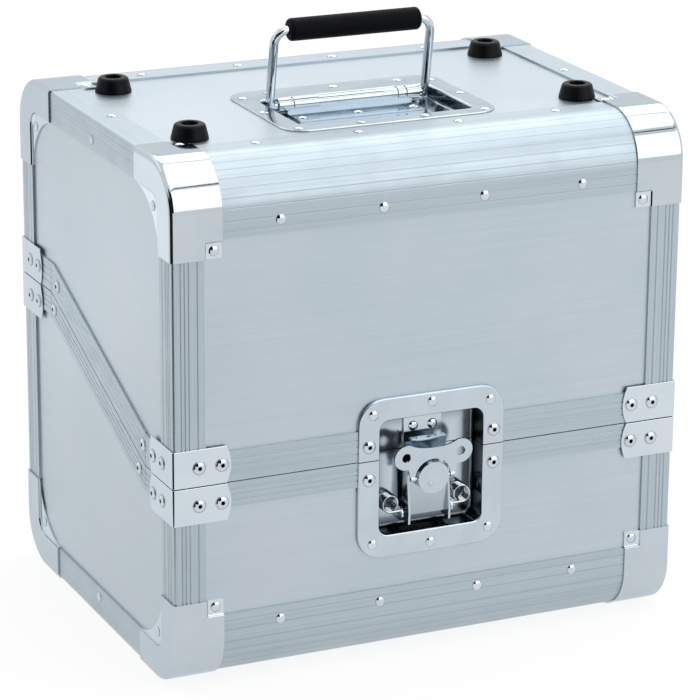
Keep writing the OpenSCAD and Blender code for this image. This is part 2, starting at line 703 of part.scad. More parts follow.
module latch_knob() color([0.84, 0.85, 0.87]) released() {
    rod_y(knob_r, knob_front, frame_in - fine, 0, -knob_down);
    rod_y(shaft_r, frame_in - fine, frame_in + hook_t, 0, -knob_down);
    rod_y(ecc_r, frame_in + hook_t, hook_in + hook_t + fine, 0, -knob_down + throw);
    rod_y(ecc_head_r, hook_in + hook_t + fine, hook_in + hook_t + fine + 0.8, 0, -knob_down + throw);
    rod_x(key_pin_r, -key_half + 0.5, key_half - 0.5, key_in, -knob_down);
    translate([-2, knob_front, -knob_down - 4]) rotate([90, 0, 0]) dome(2, 0.6);
}
saddle_dip = lobe_r / 2;                             // hollow between the lobes, below their tops
saddle_rise = lobe_r - saddle_dip;                   // and above their middles
saddle_r = (pow(lobe_x, 2) + pow(saddle_rise, 2) - pow(lobe_r, 2)) / (2 * saddle_dip);
waist_r = 6.5;                                       // hollow under each lobe
module key_outline() difference() {
    union() {
        both_sides() translate([lobe_x, lobe_up]) circle(lobe_r);
        polygon([[-key_half, 0], [key_half, 0], [key_half + 1.4, 6], [lobe_x + 1, lobe_up],
            [lobe_x, lobe_up + lobe_r], [-lobe_x, lobe_up + lobe_r], [-lobe_x - 1, lobe_up],
            [-key_half - 1.4, 6]]);
    }
    translate([0, lobe_up + saddle_rise + saddle_r]) circle(saddle_r);
    circle(knob_r + key_gap);
    both_sides() {
        translate([lobe_x, lobe_up]) circle(lobe_hole_r);
        translate([key_half + waist_r + 1, 1.2]) circle(waist_r);
    }
}
module latch_key() color([0.80, 0.81, 0.84]) released() translate([0, 0, -knob_down]) difference() {
    union() {
        along_y(key_in - key_t / 2, key_in + key_t / 2) key_outline();
        both_sides() rod_x(key_eye_r, knob_r + key_gap, key_half, key_in, 0);
    }
    rod_x(key_pin_r + running, -2 * key_half, 2 * key_half, key_in, 0);
}
keeper_w = 28;
shelf_w = 22;
keeper_up = 24.3;                                    // top of the keeper above the split
module latch_keeper() color([0.80, 0.82, 0.85]) at_latch() {
    box(-keeper_w / 2, keeper_w / 2, floor_in - hook_t, floor_in, shelf_top - hook_t, keeper_up);
    box(-shelf_w / 2, shelf_w / 2, hook_in + 2.2, floor_in - hook_t, shelf_top - hook_t, shelf_top);
}
module keeper_heads() at_latch() both_sides()
    translate([keeper_w / 4, floor_in - hook_t, keeper_up - 9]) rotate([90, 0, 0]) plain_rivet();
spring_x = 26.3;
spring_down = 34.7;                                  // springs' middle below the split
spring_wire = 0.75;                                  // radius of the spring wire
spring_pitch = 1.4;
spring_turns = 7;
module latch_springs() color([0.6, 0.62, 0.64]) at_latch() both_sides()
    translate([spring_x, floor_in, -spring_down]) rotate([90, 0, 0]) rotate_extrude()
        for (i = [0:spring_turns - 1])
            translate([spring_r - spring_wire, spring_wire + i * spring_pitch])
                circle(spring_wire, $fn = 24);

// ---- Handle dish: a shallow tray sunk in the top, with a strap for the handle ----
panel_top = top_z - edge_t;
hdish_front = -half_d + hdish_y;
hwell_front = -half_d + hwell_y;
pivot_at = -half_d + pivot_y;
hwell_past = 8;                                      // hollow behind the pivot
hwell_back = pivot_at + hwell_past;
hwell_r = 6;
hfloor = panel_top + plate_t - hwell_depth;          // upper face of the hollow's floor
pivot_z = top_z - pivot_down;
module hdish_outline() rounded(-hdish_w / 2, hdish_w / 2, hdish_front, hdish_front + hdish_d, hdish_r);
module hwell_outline(grow = 0) rounded(-hwell_w / 2 - grow, hwell_w / 2 + grow,
    hwell_front - grow, hwell_back + grow, hwell_r + grow);
module handle_clearance() {
    reach = hwell_w / 2 + plate_t + 0.5;
    box(-reach, reach, hwell_front - plate_t - 0.5, hwell_back + plate_t + 0.5, case_h / 2, far);
}
module handle_dish() dish_colour() {
    translate([0, 0, panel_top]) linear_extrude(plate_t) difference() {
        hdish_outline();
        hwell_outline();
    }
    translate([0, 0, hfloor - plate_t]) linear_extrude(hwell_depth + plate_t) difference() {
        hwell_outline(plate_t);
        hwell_outline();
    }
    translate([0, 0, hfloor - plate_t]) linear_extrude(plate_t) hwell_outline(plate_t);
}
barrel_r = wire_r + 0.75;
eye_r = wire_r + 1.6;
eye_x = [42.5, 52];                                  // the strap's end eyes
collars = [[-41, -22.5], [36, 41]];                  // rolled lengths beside the eyes
strap_x = 46;
strap_reach = 25;                                    // pivot to the strap's front edge
strap_front = pivot_at - strap_reach;
module handle_strap() color([0.80, 0.82, 0.85]) difference() {
    union() {
        box(-strap_x, strap_x, strap_front, pivot_at, hfloor, hfloor + plate_t);
        box(-strap_x, strap_x, pivot_at - barrel_r, pivot_at, hfloor, pivot_z);
        rod_x(barrel_r, -strap_x, strap_x, pivot_at, pivot_z);
        for (c = collars) rod_x(eye_r, c[0], c[1], pivot_at, pivot_z);
        both_sides() rod_x(eye_r, eye_x[0], eye_x[1], pivot_at, pivot_z);
    }
    rod_x(wire_r + running, -half_w, half_w, pivot_at, pivot_z);
}
// Rivet heads round the handle's hollow, each placed from the dish's edge and the pivot
front_head_x = [23, 67.5];
front_head_in = 7;
side_head_in = [5, 7.5];
side_head_past = [-25, 16.5];
back_head_x = 48;
back_head_past = 24;
strap_head_in = 5;  
strap_head_past = -17;
module dish_head(x, past) facing_up(x, pivot_at + past, panel_top + plate_t) plain_rivet();
module strap_head(x) facing_up(x, pivot_at + strap_head_past, hfloor + plate_t) plain_rivet();
module handle_heads() {
    both_sides() {
        for (x = front_head_x) facing_up(x, hdish_front + front_head_in, panel_top + plate_t)
            plain_rivet();
        for (i = [0, 1]) dish_head(hdish_w / 2 - side_head_in[i], side_head_past[i]);
        dish_head(back_head_x, back_head_past);
        strap_head(strap_x - strap_head_in);
    }
    dish_head(0, back_head_past);
    strap_head(0);
}

// ---- Folding handle, drawn with its pivot axis on X and its arms up along Z ----
low_bend = 4.5;
top_bend = arm_x - grip_len / 2;
toe_x = 33;                                          // inner end of each toe
module standing() translate([0, pivot_at, pivot_z]) rotate([lean, 0, 0]) children();
module bend(x, z, r, from) translate([x, 0, z]) rotate([90, 0, 0]) rotate([0, 0, from])
    rotate_extrude(angle = 90) translate([r, 0]) circle(wire_r);
module handle_bail() color([0.85, 0.86, 0.88]) standing() {
    both_sides() {
        rod_x(wire_r, toe_x, arm_x - low_bend, 0, 0);
        bend(arm_x - low_bend, low_bend, low_bend, 270);
        translate([arm_x, 0, low_bend]) cylinder(r = wire_r, h = bail_len - low_bend - top_bend);
        bend(arm_x - top_bend, bail_len - top_bend, top_bend, 0);
    }
    rod_x(wire_r, -arm_x + top_bend, arm_x - top_bend, 0, bail_len);
}
grip_edge = 2.5;                                     // rounding of the grip's ends
module handle_grip() color([0.10, 0.10, 0.11]) standing() translate([-grip_len / 2, 0, bail_len])
    rotate([0, 90, 0]) rotate_extrude() difference() {
        rounded(-grip_r, grip_r, 0, grip_len, grip_edge);
        translate([-grip_r, -1]) square([grip_r + wire_r, grip_len + 2]);
    }

// ---- Stacking feet: rubber cones held by a screw in their hollow ----
foot_hole_r = 5.5;
foot_floor = 4;                                      // rubber under the screw's head
foot_round = 2;
screw_r = 2.2;
screw_head_r = 4.2;
screw_head_h = 2.4;
foot_x = half_w - foot_in;
foot_y = half_d - corner_len - foot_past;
module at_feet() for (x = [-foot_x, foot_x], y = [-foot_y, foot_y]) translate([x, y, panel_top]) children();
module stacking_feet() color([0.09, 0.09, 0.10]) at_feet() rotate_extrude() difference() {
    union() {
        polygon([[0, 0], [foot_r, 0], [foot_r, 1], [foot_top_r, foot_h - foot_round],
            [foot_top_r - foot_round, foot_h], [0, foot_h]]);
        translate([foot_top_r - foot_round, foot_h - foot_round]) circle(foot_round);
    }
    translate([-1, foot_floor]) square([foot_hole_r + 1, foot_h]);
    translate([-1, -1]) square([screw_r + 1, foot_h]);
    translate([-foot_r, -1]) square([foot_r, foot_h + 2]);
}
module foot_screws() color([0.7, 0.72, 0.74]) at_feet() {
    cylinder(r = screw_r, h = foot_floor);
    translate([0, 0, foot_floor]) dome(screw_head_r, screw_head_h);
}

base_front_panel();
base_rear_panel();
base_left_panel();
base_right_panel();
base_floor_panel();
base_front_edge();
base_rear_edge();
base_left_edge();
base_right_edge();
base_front_posts();
base_rear_posts();
base_front_rail();
base_rear_rail();
base_left_rail();
base_right_rail();
base_front_corners();
base_rear_corners();
base_front_brackets();
base_rear_brackets();
base_rivets();
base_lining();
hinge_base_leaves();
hinge_pins();
lid_front_panel();
lid_rear_panel();
lid_left_panel();
lid_right_panel();
lid_top_panel();
lid_front_edge();
lid_rear_edge();
lid_left_edge();
lid_right_edge();
lid_front_posts();
lid_rear_posts();
lid_front_rail();
lid_rear_rail();
lid_left_rail();
lid_right_rail();
lid_front_corners();
lid_rear_corners();
lid_front_brackets();
lid_rear_brackets();
lid_rivets();
lid_lining();
hinge_lid_leaves();
latch_base_dish();
latch_lid_dish();
latch_keeper();
latch_springs();
latch_pivot_pin();
latch_frame();
latch_hook();
latch_knob();
latch_key();
handle_dish();
handle_strap();
handle_bail();
handle_grip();
stacking_feet();
foot_screws();
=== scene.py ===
import bpy
import bmesh
import math
import numpy as np
from mathutils import Matrix, Vector


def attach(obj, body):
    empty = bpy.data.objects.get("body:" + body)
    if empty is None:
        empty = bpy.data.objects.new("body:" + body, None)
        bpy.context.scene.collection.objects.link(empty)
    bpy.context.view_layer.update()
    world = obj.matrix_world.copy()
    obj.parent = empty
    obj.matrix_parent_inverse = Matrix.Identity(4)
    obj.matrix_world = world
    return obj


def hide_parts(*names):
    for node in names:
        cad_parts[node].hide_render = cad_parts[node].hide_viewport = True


# A record carrying case with a slanted hinged lid. Shapes are worked out in millimetres
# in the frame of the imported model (origin under the middle of the case, front towards -Y).

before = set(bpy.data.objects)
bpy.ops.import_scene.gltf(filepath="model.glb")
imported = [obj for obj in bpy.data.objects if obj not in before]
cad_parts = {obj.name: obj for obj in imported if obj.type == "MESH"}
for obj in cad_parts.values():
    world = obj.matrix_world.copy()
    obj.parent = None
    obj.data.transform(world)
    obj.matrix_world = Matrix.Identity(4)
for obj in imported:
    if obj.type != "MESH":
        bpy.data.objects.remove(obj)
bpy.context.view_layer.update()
mm = 0.001
mergeWithin = 2e-6                     # metres between points that are one

case = dict(
    halfWide=182.5, halfDeep=141.0,    # to the outer faces of the edge profiles
    low=1.2, top=353.8,                # underside and top of the edge profiles
    wall=1.5, panel=7.0,               # profile wall, laminate thickness
    roundRadius=33.0, roundLeg=49.5,   # the four rounded edges
    angleLeg=22.0,
    splitFront=141.7, splitRear=210.4, splitGap=0.6,
    lidBand=21.5, baseBand=17.0,
    sheet=1.2,                         # how far plates, brackets and dishes stand out
    drawnSheet=1.15,                   # their own wall, just clear of what lies behind
)


def hexColour(text):
    # sRGB hex to linear: c/12.92 below 0.04045, else ((c+0.055)/1.055)^2.4
    values = np.array([int(text[i:i + 2], 16) for i in (1, 3, 5)]) / 255
    linear = np.where(values <= 0.04045, values / 12.92, ((values + 0.055) / 1.055) ** 2.4)
    return (*[float(v) for v in linear], 1.0)


def feed(tree, node, key, value):
    # one input: linked to another node's first output or to a given output, or set
    if isinstance(value, bpy.types.Node):
        value = value.outputs[0]
    if isinstance(value, bpy.types.NodeSocket):
        tree.links.new(value, node.inputs[key])
    else:
        node.inputs[key].default_value = value


def addNode(tree, kind, inputs=None, **settings):
    # one shader node with its inputs and its settings (stops are a ramp's colours, as
    # (place, colour))
    node = tree.nodes.new("ShaderNode" + kind)
    stops = settings.pop("stops", [])
    while stops and len(node.color_ramp.elements) < len(stops):
        node.color_ramp.elements.new(0.5)
    for number, (at, colour) in enumerate(stops):
        node.color_ramp.elements[number].position = at
        node.color_ramp.elements[number].color = hexColour(colour)
    for key, value in settings.items():
        setattr(node, key, value)
    for key, value in (inputs or {}).items():
        feed(tree, node, key, value)
    return node


def startMaterial(name, **shader):
    # a Principled surface with its constant sockets set by name
    material = bpy.data.materials.new(name)
    material.use_nodes = True
    tree = material.node_tree
    surface = tree.nodes["Principled BSDF"]
    for key, value in shader.items():
        surface.inputs[key.replace("_", " ")].default_value = value
    return material, tree, surface


def joinLook(tree, surface, colour, height, bump, wear=None, span=(), rough=(), deep=None):
    # the end of every material: its colour, which turns to deep where the recess attribute lays
    # painted shade, a bump of (strength, metres) over the height pattern, and a roughness
    # that goes straight from one of rough to the other as the wear pattern crosses the span
    if deep:
        paintedShade = addNode(tree, "Attribute", attribute_name="paintedShade")
        colour = addNode(tree, "MixRGB", {"Fac": paintedShade.outputs["Fac"], "Color1": colour,
                                          "Color2": hexColour(deep)})
    feed(tree, surface, "Base Color", colour)
    if wear:
        gloss = addNode(tree, "MapRange", {"Value": wear, "From Min": span[0],
                                           "From Max": span[1], "To Min": rough[0],
                                           "To Max": rough[1]})
        feed(tree, surface, "Roughness", gloss)
    relief = addNode(tree, "Bump", {"Height": height, "Strength": bump[0], "Distance": bump[1]})
    feed(tree, surface, "Normal", relief)


# Materials

def brushedLaminate(name, direction, look):
    # Aluminium foil facing on plywood, brushed in one direction and lacquered: satin, with
    # hair lines drawn 0.9 mm apart so that they show, and slow drifts of tone over 80 mm.
    material, tree, surface = startMaterial(name, Metallic=look["metallic"])
    place = addNode(tree, "TexCoord").outputs["Object"]
    lines = addNode(tree, "Mapping", {"Vector": place, "Scale": direction})
    hair = addNode(tree, "TexNoise", {"Vector": lines, "Scale": 1.0, "Detail": 3.0,
                                      "Roughness": 0.6})
    drift = addNode(tree, "TexNoise", {"Vector": place, "Scale": 12.0, "Detail": 2.0})
    tone = addNode(tree, "ValToRGB", {"Fac": drift},
                   stops=[(0.3, look["cool"]), (0.7, look["warm"])])
    strands = addNode(tree, "ValToRGB", {"Fac": hair},
                      stops=[(0.25, "#F5F5F5"), (0.75, "#FFFFFF")])
    mixed = addNode(tree, "MixRGB", {"Fac": 1.0, "Color1": tone, "Color2": strands},
                    blend_type="MULTIPLY")
    joinLook(tree, surface, mixed, hair, (0.012, 0.0001), hair, (0.3, 0.7),
             (look["rough"] - 0.015, look["rough"] + 0.02))
    return material


def drawnAluminium(name, direction, look):
    # Extruded 6063 aluminium, clear anodised: die lines run along the length, with faint
    # handling marks 20 mm across. The recess attribute lays painted shade on its groove floors.
    material, tree, surface = startMaterial(name, Metallic=look["metallic"])
    place = addNode(tree, "TexCoord").outputs["Object"]
    lines = addNode(tree, "Mapping", {"Vector": place, "Scale": direction})
    die = addNode(tree, "TexNoise", {"Vector": lines, "Scale": 1.0, "Detail": 2.0})
    marks = addNode(tree, "TexNoise", {"Vector": place, "Scale": 50.0, "Detail": 4.0})
    tone = addNode(tree, "ValToRGB", {"Fac": die},
                   stops=[(0.3, look["dark"]), (0.7, look["light"])])
    joinLook(tree, surface, tone, die, (0.04, 0.0001), marks, (0.35, 0.7),
             (look["rough"] - 0.03, look["rough"] + 0.06), "#3A4146")
    return material


def platedSteel(name, look):
    # Pressed or drawn steel, polished and plated with chrome or zinc: nearly a mirror, broken
    # by a faint orange peel (2 to 5 mm) and by cloudy wipe marks (25 mm) in its gloss. Its
    # colour turns dark as painted shade where the recess attribute says that it lies deep,
    # and the tint keeps it bluish where it is seen at a low angle.
    material, tree, surface = startMaterial(name, Metallic=1.0, Specular_Tint=hexColour("#EDF2F6"))
    place = addNode(tree, "TexCoord").outputs["Object"]
    peel = addNode(tree, "TexNoise", {"Vector": place, "Scale": look["peelScale"], "Detail": 2.0})
    wipe = addNode(tree, "TexNoise", {"Vector": place, "Scale": 40.0, "Detail": 5.0,
                                      "Distortion": 0.4})
    tone = addNode(tree, "ValToRGB", {"Fac": wipe},
                   stops=[(0.3, look["dark"]), (0.7, look["light"])])
    # the last colour, #101216, is the painted shade
    joinLook(tree, surface, tone, peel, (look["peel"], 0.0002), wipe, (0.35, 0.7),
             (look["rough"] * 0.75, look["rough"] * 1.35), "#101216")
    return material


def mouldedRubber(name, look):
    # Black moulded rubber: matt to semi-matt, with a fine 0.6 mm grain and paler rubbed dust.
    material, tree, surface = startMaterial(name, IOR=1.52, Specular_IOR_Level=look["shine"])
    place = addNode(tree, "TexCoord").outputs["Object"]
    grain = addNode(tree, "TexNoise", {"Vector": place, "Scale": 1600.0, "Detail": 2.0})
    dust = addNode(tree, "TexNoise", {"Vector": place, "Scale": 90.0, "Detail": 4.0})
    tone = addNode(tree, "ValToRGB", {"Fac": dust},
                   stops=[(0.35, look["dark"]), (0.8, look["light"])])
    joinLook(tree, surface, tone, grain, (0.25, 0.0002), dust, (0.3, 0.75),
             (look["rough"] - 0.06, look["rough"] + 0.08))
    return material


def cellFoam(name, look):
    # Closed-cell foam, moulded as a sleeve or cut from sheet: matt black, with the open
    # halves of cells 0.7 to 1.2 mm across over its face.
    material, tree, surface = startMaterial(name, IOR=1.45, Roughness=look["rough"],
                                            Specular_IOR_Level=look["shine"])
    place = addNode(tree, "TexCoord").outputs["Object"]
    cells = addNode(tree, "TexVoronoi", {"Vector": place, "Scale": look["cells"]})
    tone = addNode(tree, "ValToRGB", {"Fac": cells},
                   stops=[(0.0, look["dark"]), (0.6, look["light"])])
    joinLook(tree, surface, tone, cells, (look["bump"], 0.0004))
    return material


laminateLook = dict(metallic=0.95, rough=0.38, cool="#BAC7CF", warm="#C1CAD2")
profileLook = dict(metallic=0.95, rough=0.40, dark="#A9B6BE", light="#B4C0C8")
plateLook = dict(rough=0.07, peel=0.03, peelScale=250.0, dark="#C7D1D9", light="#CED7DD")
rivetLook = dict(rough=0.07, peel=0.02, peelScale=400.0, dark="#C2CAD1", light="#CFD6DC")
latchLook = dict(rough=0.16, peel=0.04, peelScale=300.0, dark="#B9C4CD", light="#C3CDD5")
trayLook = dict(rough=0.12, peel=0.05, peelScale=200.0, dark="#B7C2CA", light="#C6D0D6")
wireLook = dict(rough=0.06, peel=0.02, peelScale=300.0, dark="#C4CBD2", light="#D2D8DE")
hingeLook = dict(rough=0.26, peel=0.06, peelScale=300.0, dark="#B4BBC2", light="#C2C8CE")
pinLook = dict(rough=0.28, peel=0.05, peelScale=500.0, dark="#9DA1A6", light="#B3B7BB")
springLook = dict(rough=0.14, peel=0.03, peelScale=500.0, dark="#BCC2C8", light="#D2D7DB")

alongX = (4.0, 1100.0, 1100.0)   # hair lines along X: slow in X, fast in Y and Z
alongY = (1100.0, 4.0, 1100.0)
alongZ = (1100.0, 1100.0, 4.0)
laminateX = brushedLaminate("brushedLaminateAcross", alongX, laminateLook)
laminateY = brushedLaminate("brushedLaminateDeep", alongY, laminateLook)
profileX = drawnAluminium("drawnAluminiumAcross", alongX, profileLook)
profileY = drawnAluminium("drawnAluminiumDeep", alongY, profileLook)
profileZ = drawnAluminium("drawnAluminiumUpright", alongZ, profileLook)
chromeSheet = platedSteel("chromedSteelSheet", plateLook)
chromeRivet = platedSteel("chromedRivet", rivetLook)
satinChrome = platedSteel("satinChromedSteel", latchLook)
trayZinc = platedSteel("brightZincTray", trayLook)
chromeWire = platedSteel("chromedSteelWire", wireLook)
zincHinge = platedSteel("zincPlatedHinge", hingeLook)
plainPin = platedSteel("plainSteelPin", pinLook)
springSteel = platedSteel("springSteelWire", springLook)
footRubber = mouldedRubber("mouldedFootRubber", dict(rough=0.42, shine=0.12, dark="#020304",
                                                     light="#06080B"))
gripFoam = cellFoam("nitrileGripFoam", dict(rough=0.55, shine=0.08, cells=1500.0, bump=0.12,
                                            dark="#020305", light="#06070B"))
liningFoam = cellFoam("liningFoamSheet", dict(rough=0.9, shine=0.3, cells=800.0, bump=0.35,
                                              dark="#0C0C0D", light="#1E1E20"))
print("materials made")


# Mesh helpers, all in millimetres

def gridFaces(rows, columns, closeColumns=False):
    # quads between neighbours (i, j), (i+1, j), (i+1, j+1), (i, j+1) of a grid of points
    i, j = np.meshgrid(np.arange(rows - 1), np.arange(columns - (not closeColumns)),
                       indexing="ij")
    low, high, j2 = i * columns, (i + 1) * columns, (j + 1) % columns
    return np.stack([low + j, high + j, high + j2, low + j2], -1).reshape(-1, 4).tolist()


def joinParts(parts):
    # one list of points and faces from several
    points, faces, count = [], [], 0
    for p, f in parts:
        points.append(p)
        faces += [[k + count for k in face] for face in f]
        count += len(p)
    return np.concatenate(points), faces


def merged(mesh):
    # the mesh opened for editing, with points that lie together made one
    shape = bmesh.new()
    shape.from_mesh(mesh)
    bmesh.ops.remove_doubles(shape, verts=shape.verts, dist=mergeWithin)
    return shape


def finishPiece(name, parts, material, body, nodes, sheet=0.0, facing=None,
                bevel=0.0, cuts=(), sharp=35, paintedShade=None):
    # points and faces into a mesh: doubles merged, normals made to point outwards, then a
    # wall of thickness sheet behind the surface and a bevel on the sharp edges. recess is
    # 0 to 1 for each point: how much painted shade it gets.
    points, faces = joinParts(parts)
    mesh = bpy.data.meshes.new(name)
    mesh.from_pydata((points * mm).tolist(), [], faces)
    if paintedShade is not None:
        mesh.attributes.new("paintedShade", "FLOAT", "POINT").data.foreach_set("value", paintedShade)
    shape = merged(mesh)
    for at, normal in cuts:                # everything on the normal's side is cut away
        everything = shape.verts[:] + shape.edges[:] + shape.faces[:]
        bmesh.ops.bisect_plane(shape, geom=everything, plane_co=[v * mm for v in at],
                               plane_no=normal, clear_outer=True)
    bmesh.ops.recalc_face_normals(shape, faces=shape.faces)
    if facing is not None:                 # open sheets: the side seen away from this point
        centre = Vector(facing) * mm
        total = sum(f.calc_area() * f.normal.dot(f.calc_center_median() - centre)
                    for f in shape.faces)
        if total < 0:
            bmesh.ops.reverse_faces(shape, faces=shape.faces)
    shape.to_mesh(mesh)
    shape.free()
    return dress(name, mesh, material, body, nodes, sheet, bevel, sharp)


def dress(name, mesh, material, body, nodes, sheet=0.0, bevel=0.0, sharp=35):
    # object, material, shading and modifiers of one piece, which then rides on its body
    piece = bpy.data.objects.new(name, mesh)
    bpy.context.scene.collection.objects.link(piece)
    mesh.materials.clear()
    mesh.materials.append(material)
    mesh.polygons.foreach_set("use_smooth", np.ones(len(mesh.polygons), dtype=bool))
    mesh.set_sharp_from_angle(angle=math.radians(sharp))
    if sheet:
        wall = piece.modifiers.new("wall", "SOLIDIFY")
        wall.thickness = sheet * mm
        wall.offset = -1
    if bevel:
        edge = piece.modifiers.new("softEdges", "BEVEL")
        edge.width = bevel * mm
        edge.segments = 2
        edge.limit_method = "ANGLE"
        edge.angle_limit = math.radians(40)
        edge.harden_normals = True
    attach(piece, body)
    if nodes:
        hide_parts(*nodes)
    return piece


def softened(name, node, material, body, bevel, deep=None):
    # a copy of a CAD node with its triangles merged into flat faces and its edges broken.
    # deep (first, last, most) raises the recess attribute, painted shade, with the depth
    # behind the front.
    shape = merged(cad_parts[node].data)
    bmesh.ops.dissolve_limit(shape, angle_limit=math.radians(0.5), verts=shape.verts,
                             edges=shape.edges)
    mesh = bpy.data.meshes.new(name)
    shape.to_mesh(mesh)
    shape.free()
    for extra in [a.name for a in mesh.attributes if "normal" in a.name]:
        mesh.attributes.remove(mesh.attributes[extra])
    if deep:
        places = np.empty(3 * len(mesh.vertices), dtype=np.float32)
        mesh.vertices.foreach_get("co", places)
        depth = places[1::3] / mm + case["halfDeep"]
        shade = deep[2] * np.clip((depth - deep[0]) / (deep[1] - deep[0]), 0, 1)
        mesh.attributes.new("paintedShade", "FLOAT", "POINT").data.foreach_set("value", shade)
    return dress(name, mesh, material, body, [node], bevel=bevel)


def fromCorner(points, left, front, top):
    # (x, a, b) inwards from a case corner's side, front and top faces, to case coordinates
    x, a, b = points.reshape(-1, 3).T
    side, face = (1 if left else -1), (1 if front else -1)
    height = case["top"] - b if top else case["low"] + b
    return np.stack([(x - case["halfWide"]) * side, (a - case["halfDeep"]) * face, height], -1)


def cornerPair(kind, part, where, top, points, faces, depth, bevel, paintedShade=None):
    # one pressed sheet at the left and, mirrored, at the right of the case. It faces away
    # from the point at that depth inside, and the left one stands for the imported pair.
    for side, left in (("Left", True), ("Right", False)):
        inside = fromCorner(np.array(depth), left, where == "front", top)[0]
        finishPiece(f"{part}{where.capitalize()}{side}{kind}",
                    [(fromCorner(points, left, where == "front", top), faces)], chromeSheet,
                    part, [f"{part}_{where}_{kind.lower()}s"] if left else [],
                    sheet=case["drawnSheet"], facing=inside,
                    bevel=bevel, sharp=60, paintedShade=paintedShade)


def prism(outline, axis, start, end):
    # a closed outline (u, v) carried from start to end along X, Y or Z, with both ends shut
    n = len(outline)
    rows = [np.insert(outline, axis, at, axis=1) for at in (start, end)]
    faces = gridFaces(2, n, closeColumns=True)
    return np.concatenate(rows), faces + [list(range(n)), list(range(n, 2 * n))]


def turned(profile, at, axis, steps):
    # profile (r, h) turned about an axis: at + h*axis + r*(cos t * u + sin t * v)
    axis = np.array(axis, float)
    u = np.cross(axis, [0.0, 0.0, 1.0] if abs(axis[2]) < 0.9 else [1.0, 0.0, 0.0])
    u /= np.linalg.norm(u)
    v = np.cross(axis, u)
    t = np.linspace(0, 2 * np.pi, steps, endpoint=False)
    ring = np.cos(t)[:, None] * u + np.sin(t)[:, None] * v
    points = (np.array(at, float) + profile[:, 1][:, None, None] * axis
              + profile[:, 0][:, None, None] * ring[None])
    return points.reshape(-1, 3), gridFaces(len(profile), steps, closeColumns=True)


def ease(t):
    # smooth step 0 to 1: (1 - cos(pi t)) / 2, held at its ends
    return (1 - np.cos(np.pi * np.clip(t, 0, 1))) / 2


def arc(centre, radius, start, end, count):
    # points on a circle from one angle to another, in degrees
    t = np.radians(np.linspace(start, end, count))
    return np.stack([centre[0] + radius * np.cos(t), centre[1] + radius * np.sin(t)], -1)


# Wall panels: copies of the laminate boards with their edges broken

panelEdge = 0.3    # bevel on the boards' edges
for part, level in (("base", "floor"), ("lid", "top")):
    for side, material in (("front", laminateX), ("rear", laminateX), (level, laminateX),
                           ("left", laminateY), ("right", laminateY)):
        softened(f"{part}{side.capitalize()}Panel", f"{part}_{side}_panel", material, part,
                 panelEdge)
print("wall panels done")


# Rounded edge profiles: a grooved skin with lips, and an inner skin with webs

edgeProfile = dict(grooves=8, lipGrooves=(38.0, 44.5), depth=0.09, width=0.32, shade=0.26)
grooveSteps = 560    # points along a grooved path


def groovedPath(length, bend, grooves, depth, width):
    # an outer path (a, b): down the front, round a bend of that radius, along the other
    # face. Each groove sinks it by depth * exp(-(d/width)^2) at distance d along the path.
    arcLength = bend * np.pi / 2
    s = np.linspace(0, 2 * (length - bend) + arcLength, grooveSteps)
    first, second = length - bend, length - bend + arcLength
    angle = np.clip((s - first) / bend, 0, np.pi / 2)
    a = np.where(s <= first, 0.0, np.where(s >= second, bend + s - second,
                                           bend * (1 - np.cos(angle))))
    b = np.where(s <= first, length - s, np.where(s >= second, 0.0, bend * (1 - np.sin(angle))))
    inward = np.stack([np.cos(angle), np.sin(angle)], -1)
    sink = np.zeros_like(s)
    for g in grooves:
        sink += np.exp(-((s - g) / width) ** 2)
    return np.stack([a, b], -1) + inward * depth * sink[:, None], inward, sink


def wideEdge(name, node, body, front, top):
    # two outlines (a, b) carried along X: the grooved skin with its inner face one wall
    # in, and the inner skin, two arcs about the bend's centre with webs to the panels
    r, leg, wall, panel = case["roundRadius"], case["roundLeg"], case["wall"], case["panel"]
    flat = leg - r
    bendGrooves = [flat + (i + 0.5) * r * np.pi / 2 / edgeProfile["grooves"]
                   for i in range(edgeProfile["grooves"])]
    total = 2 * flat + r * np.pi / 2
    lips = [leg - g for g in edgeProfile["lipGrooves"]]
    grooves = bendGrooves + lips + [total - g for g in lips]
    outer, inward, sink = groovedPath(leg, r, grooves, edgeProfile["depth"], edgeProfile["width"])
    plain = groovedPath(leg, r, [], 0, 1)[0]
    skin = np.concatenate([outer, (plain + inward * wall)[::-1]])
    centre = (r, r)
    core = np.concatenate([
        [[wall, r - wall], [wall, r]], [[wall + panel, r]],
        arc(centre, r - panel - wall, 180, 270, 24),
        [[r, wall + panel], [r, wall], [r - wall, wall]],
        arc(centre, r - panel, 270, 180, 24)[1:-1]])
    wide, inner = case["halfWide"], case["halfWide"] - wall - panel
    parts = []
    for outline, x0, x1 in ((skin, 0.0, 2 * wide), (core, wide - inner, wide + inner)):
        points, faces = prism(outline, 0, x0, x1)
        parts.append((fromCorner(points, True, front, top), faces))
    # painted shade on the groove floors of the skin's outer face
    shade = np.concatenate([sink * edgeProfile["shade"], np.zeros(len(plain))])
    finishPiece(name, parts, profileX, body, [node], sharp=50,
                paintedShade=np.concatenate([shade, shade, np.zeros(2 * len(core))]))


for part in ("base", "lid"):
    for where in ("front", "rear"):
        wideEdge(f"{part}{where.capitalize()}RoundEdge", f"{part}_{where}_edge", part,
                 where == "front", part == "lid")
print("rounded edges done")


# Straight angles: upright posts and the side edges

angleProfile = dict(grooves=(5.5, 8.2, 11.0, 17.0), corner=1.8, width=0.36,
                    post=(0.2, 0.42), edge=(0.06, 0.08))    # groove depth and shade


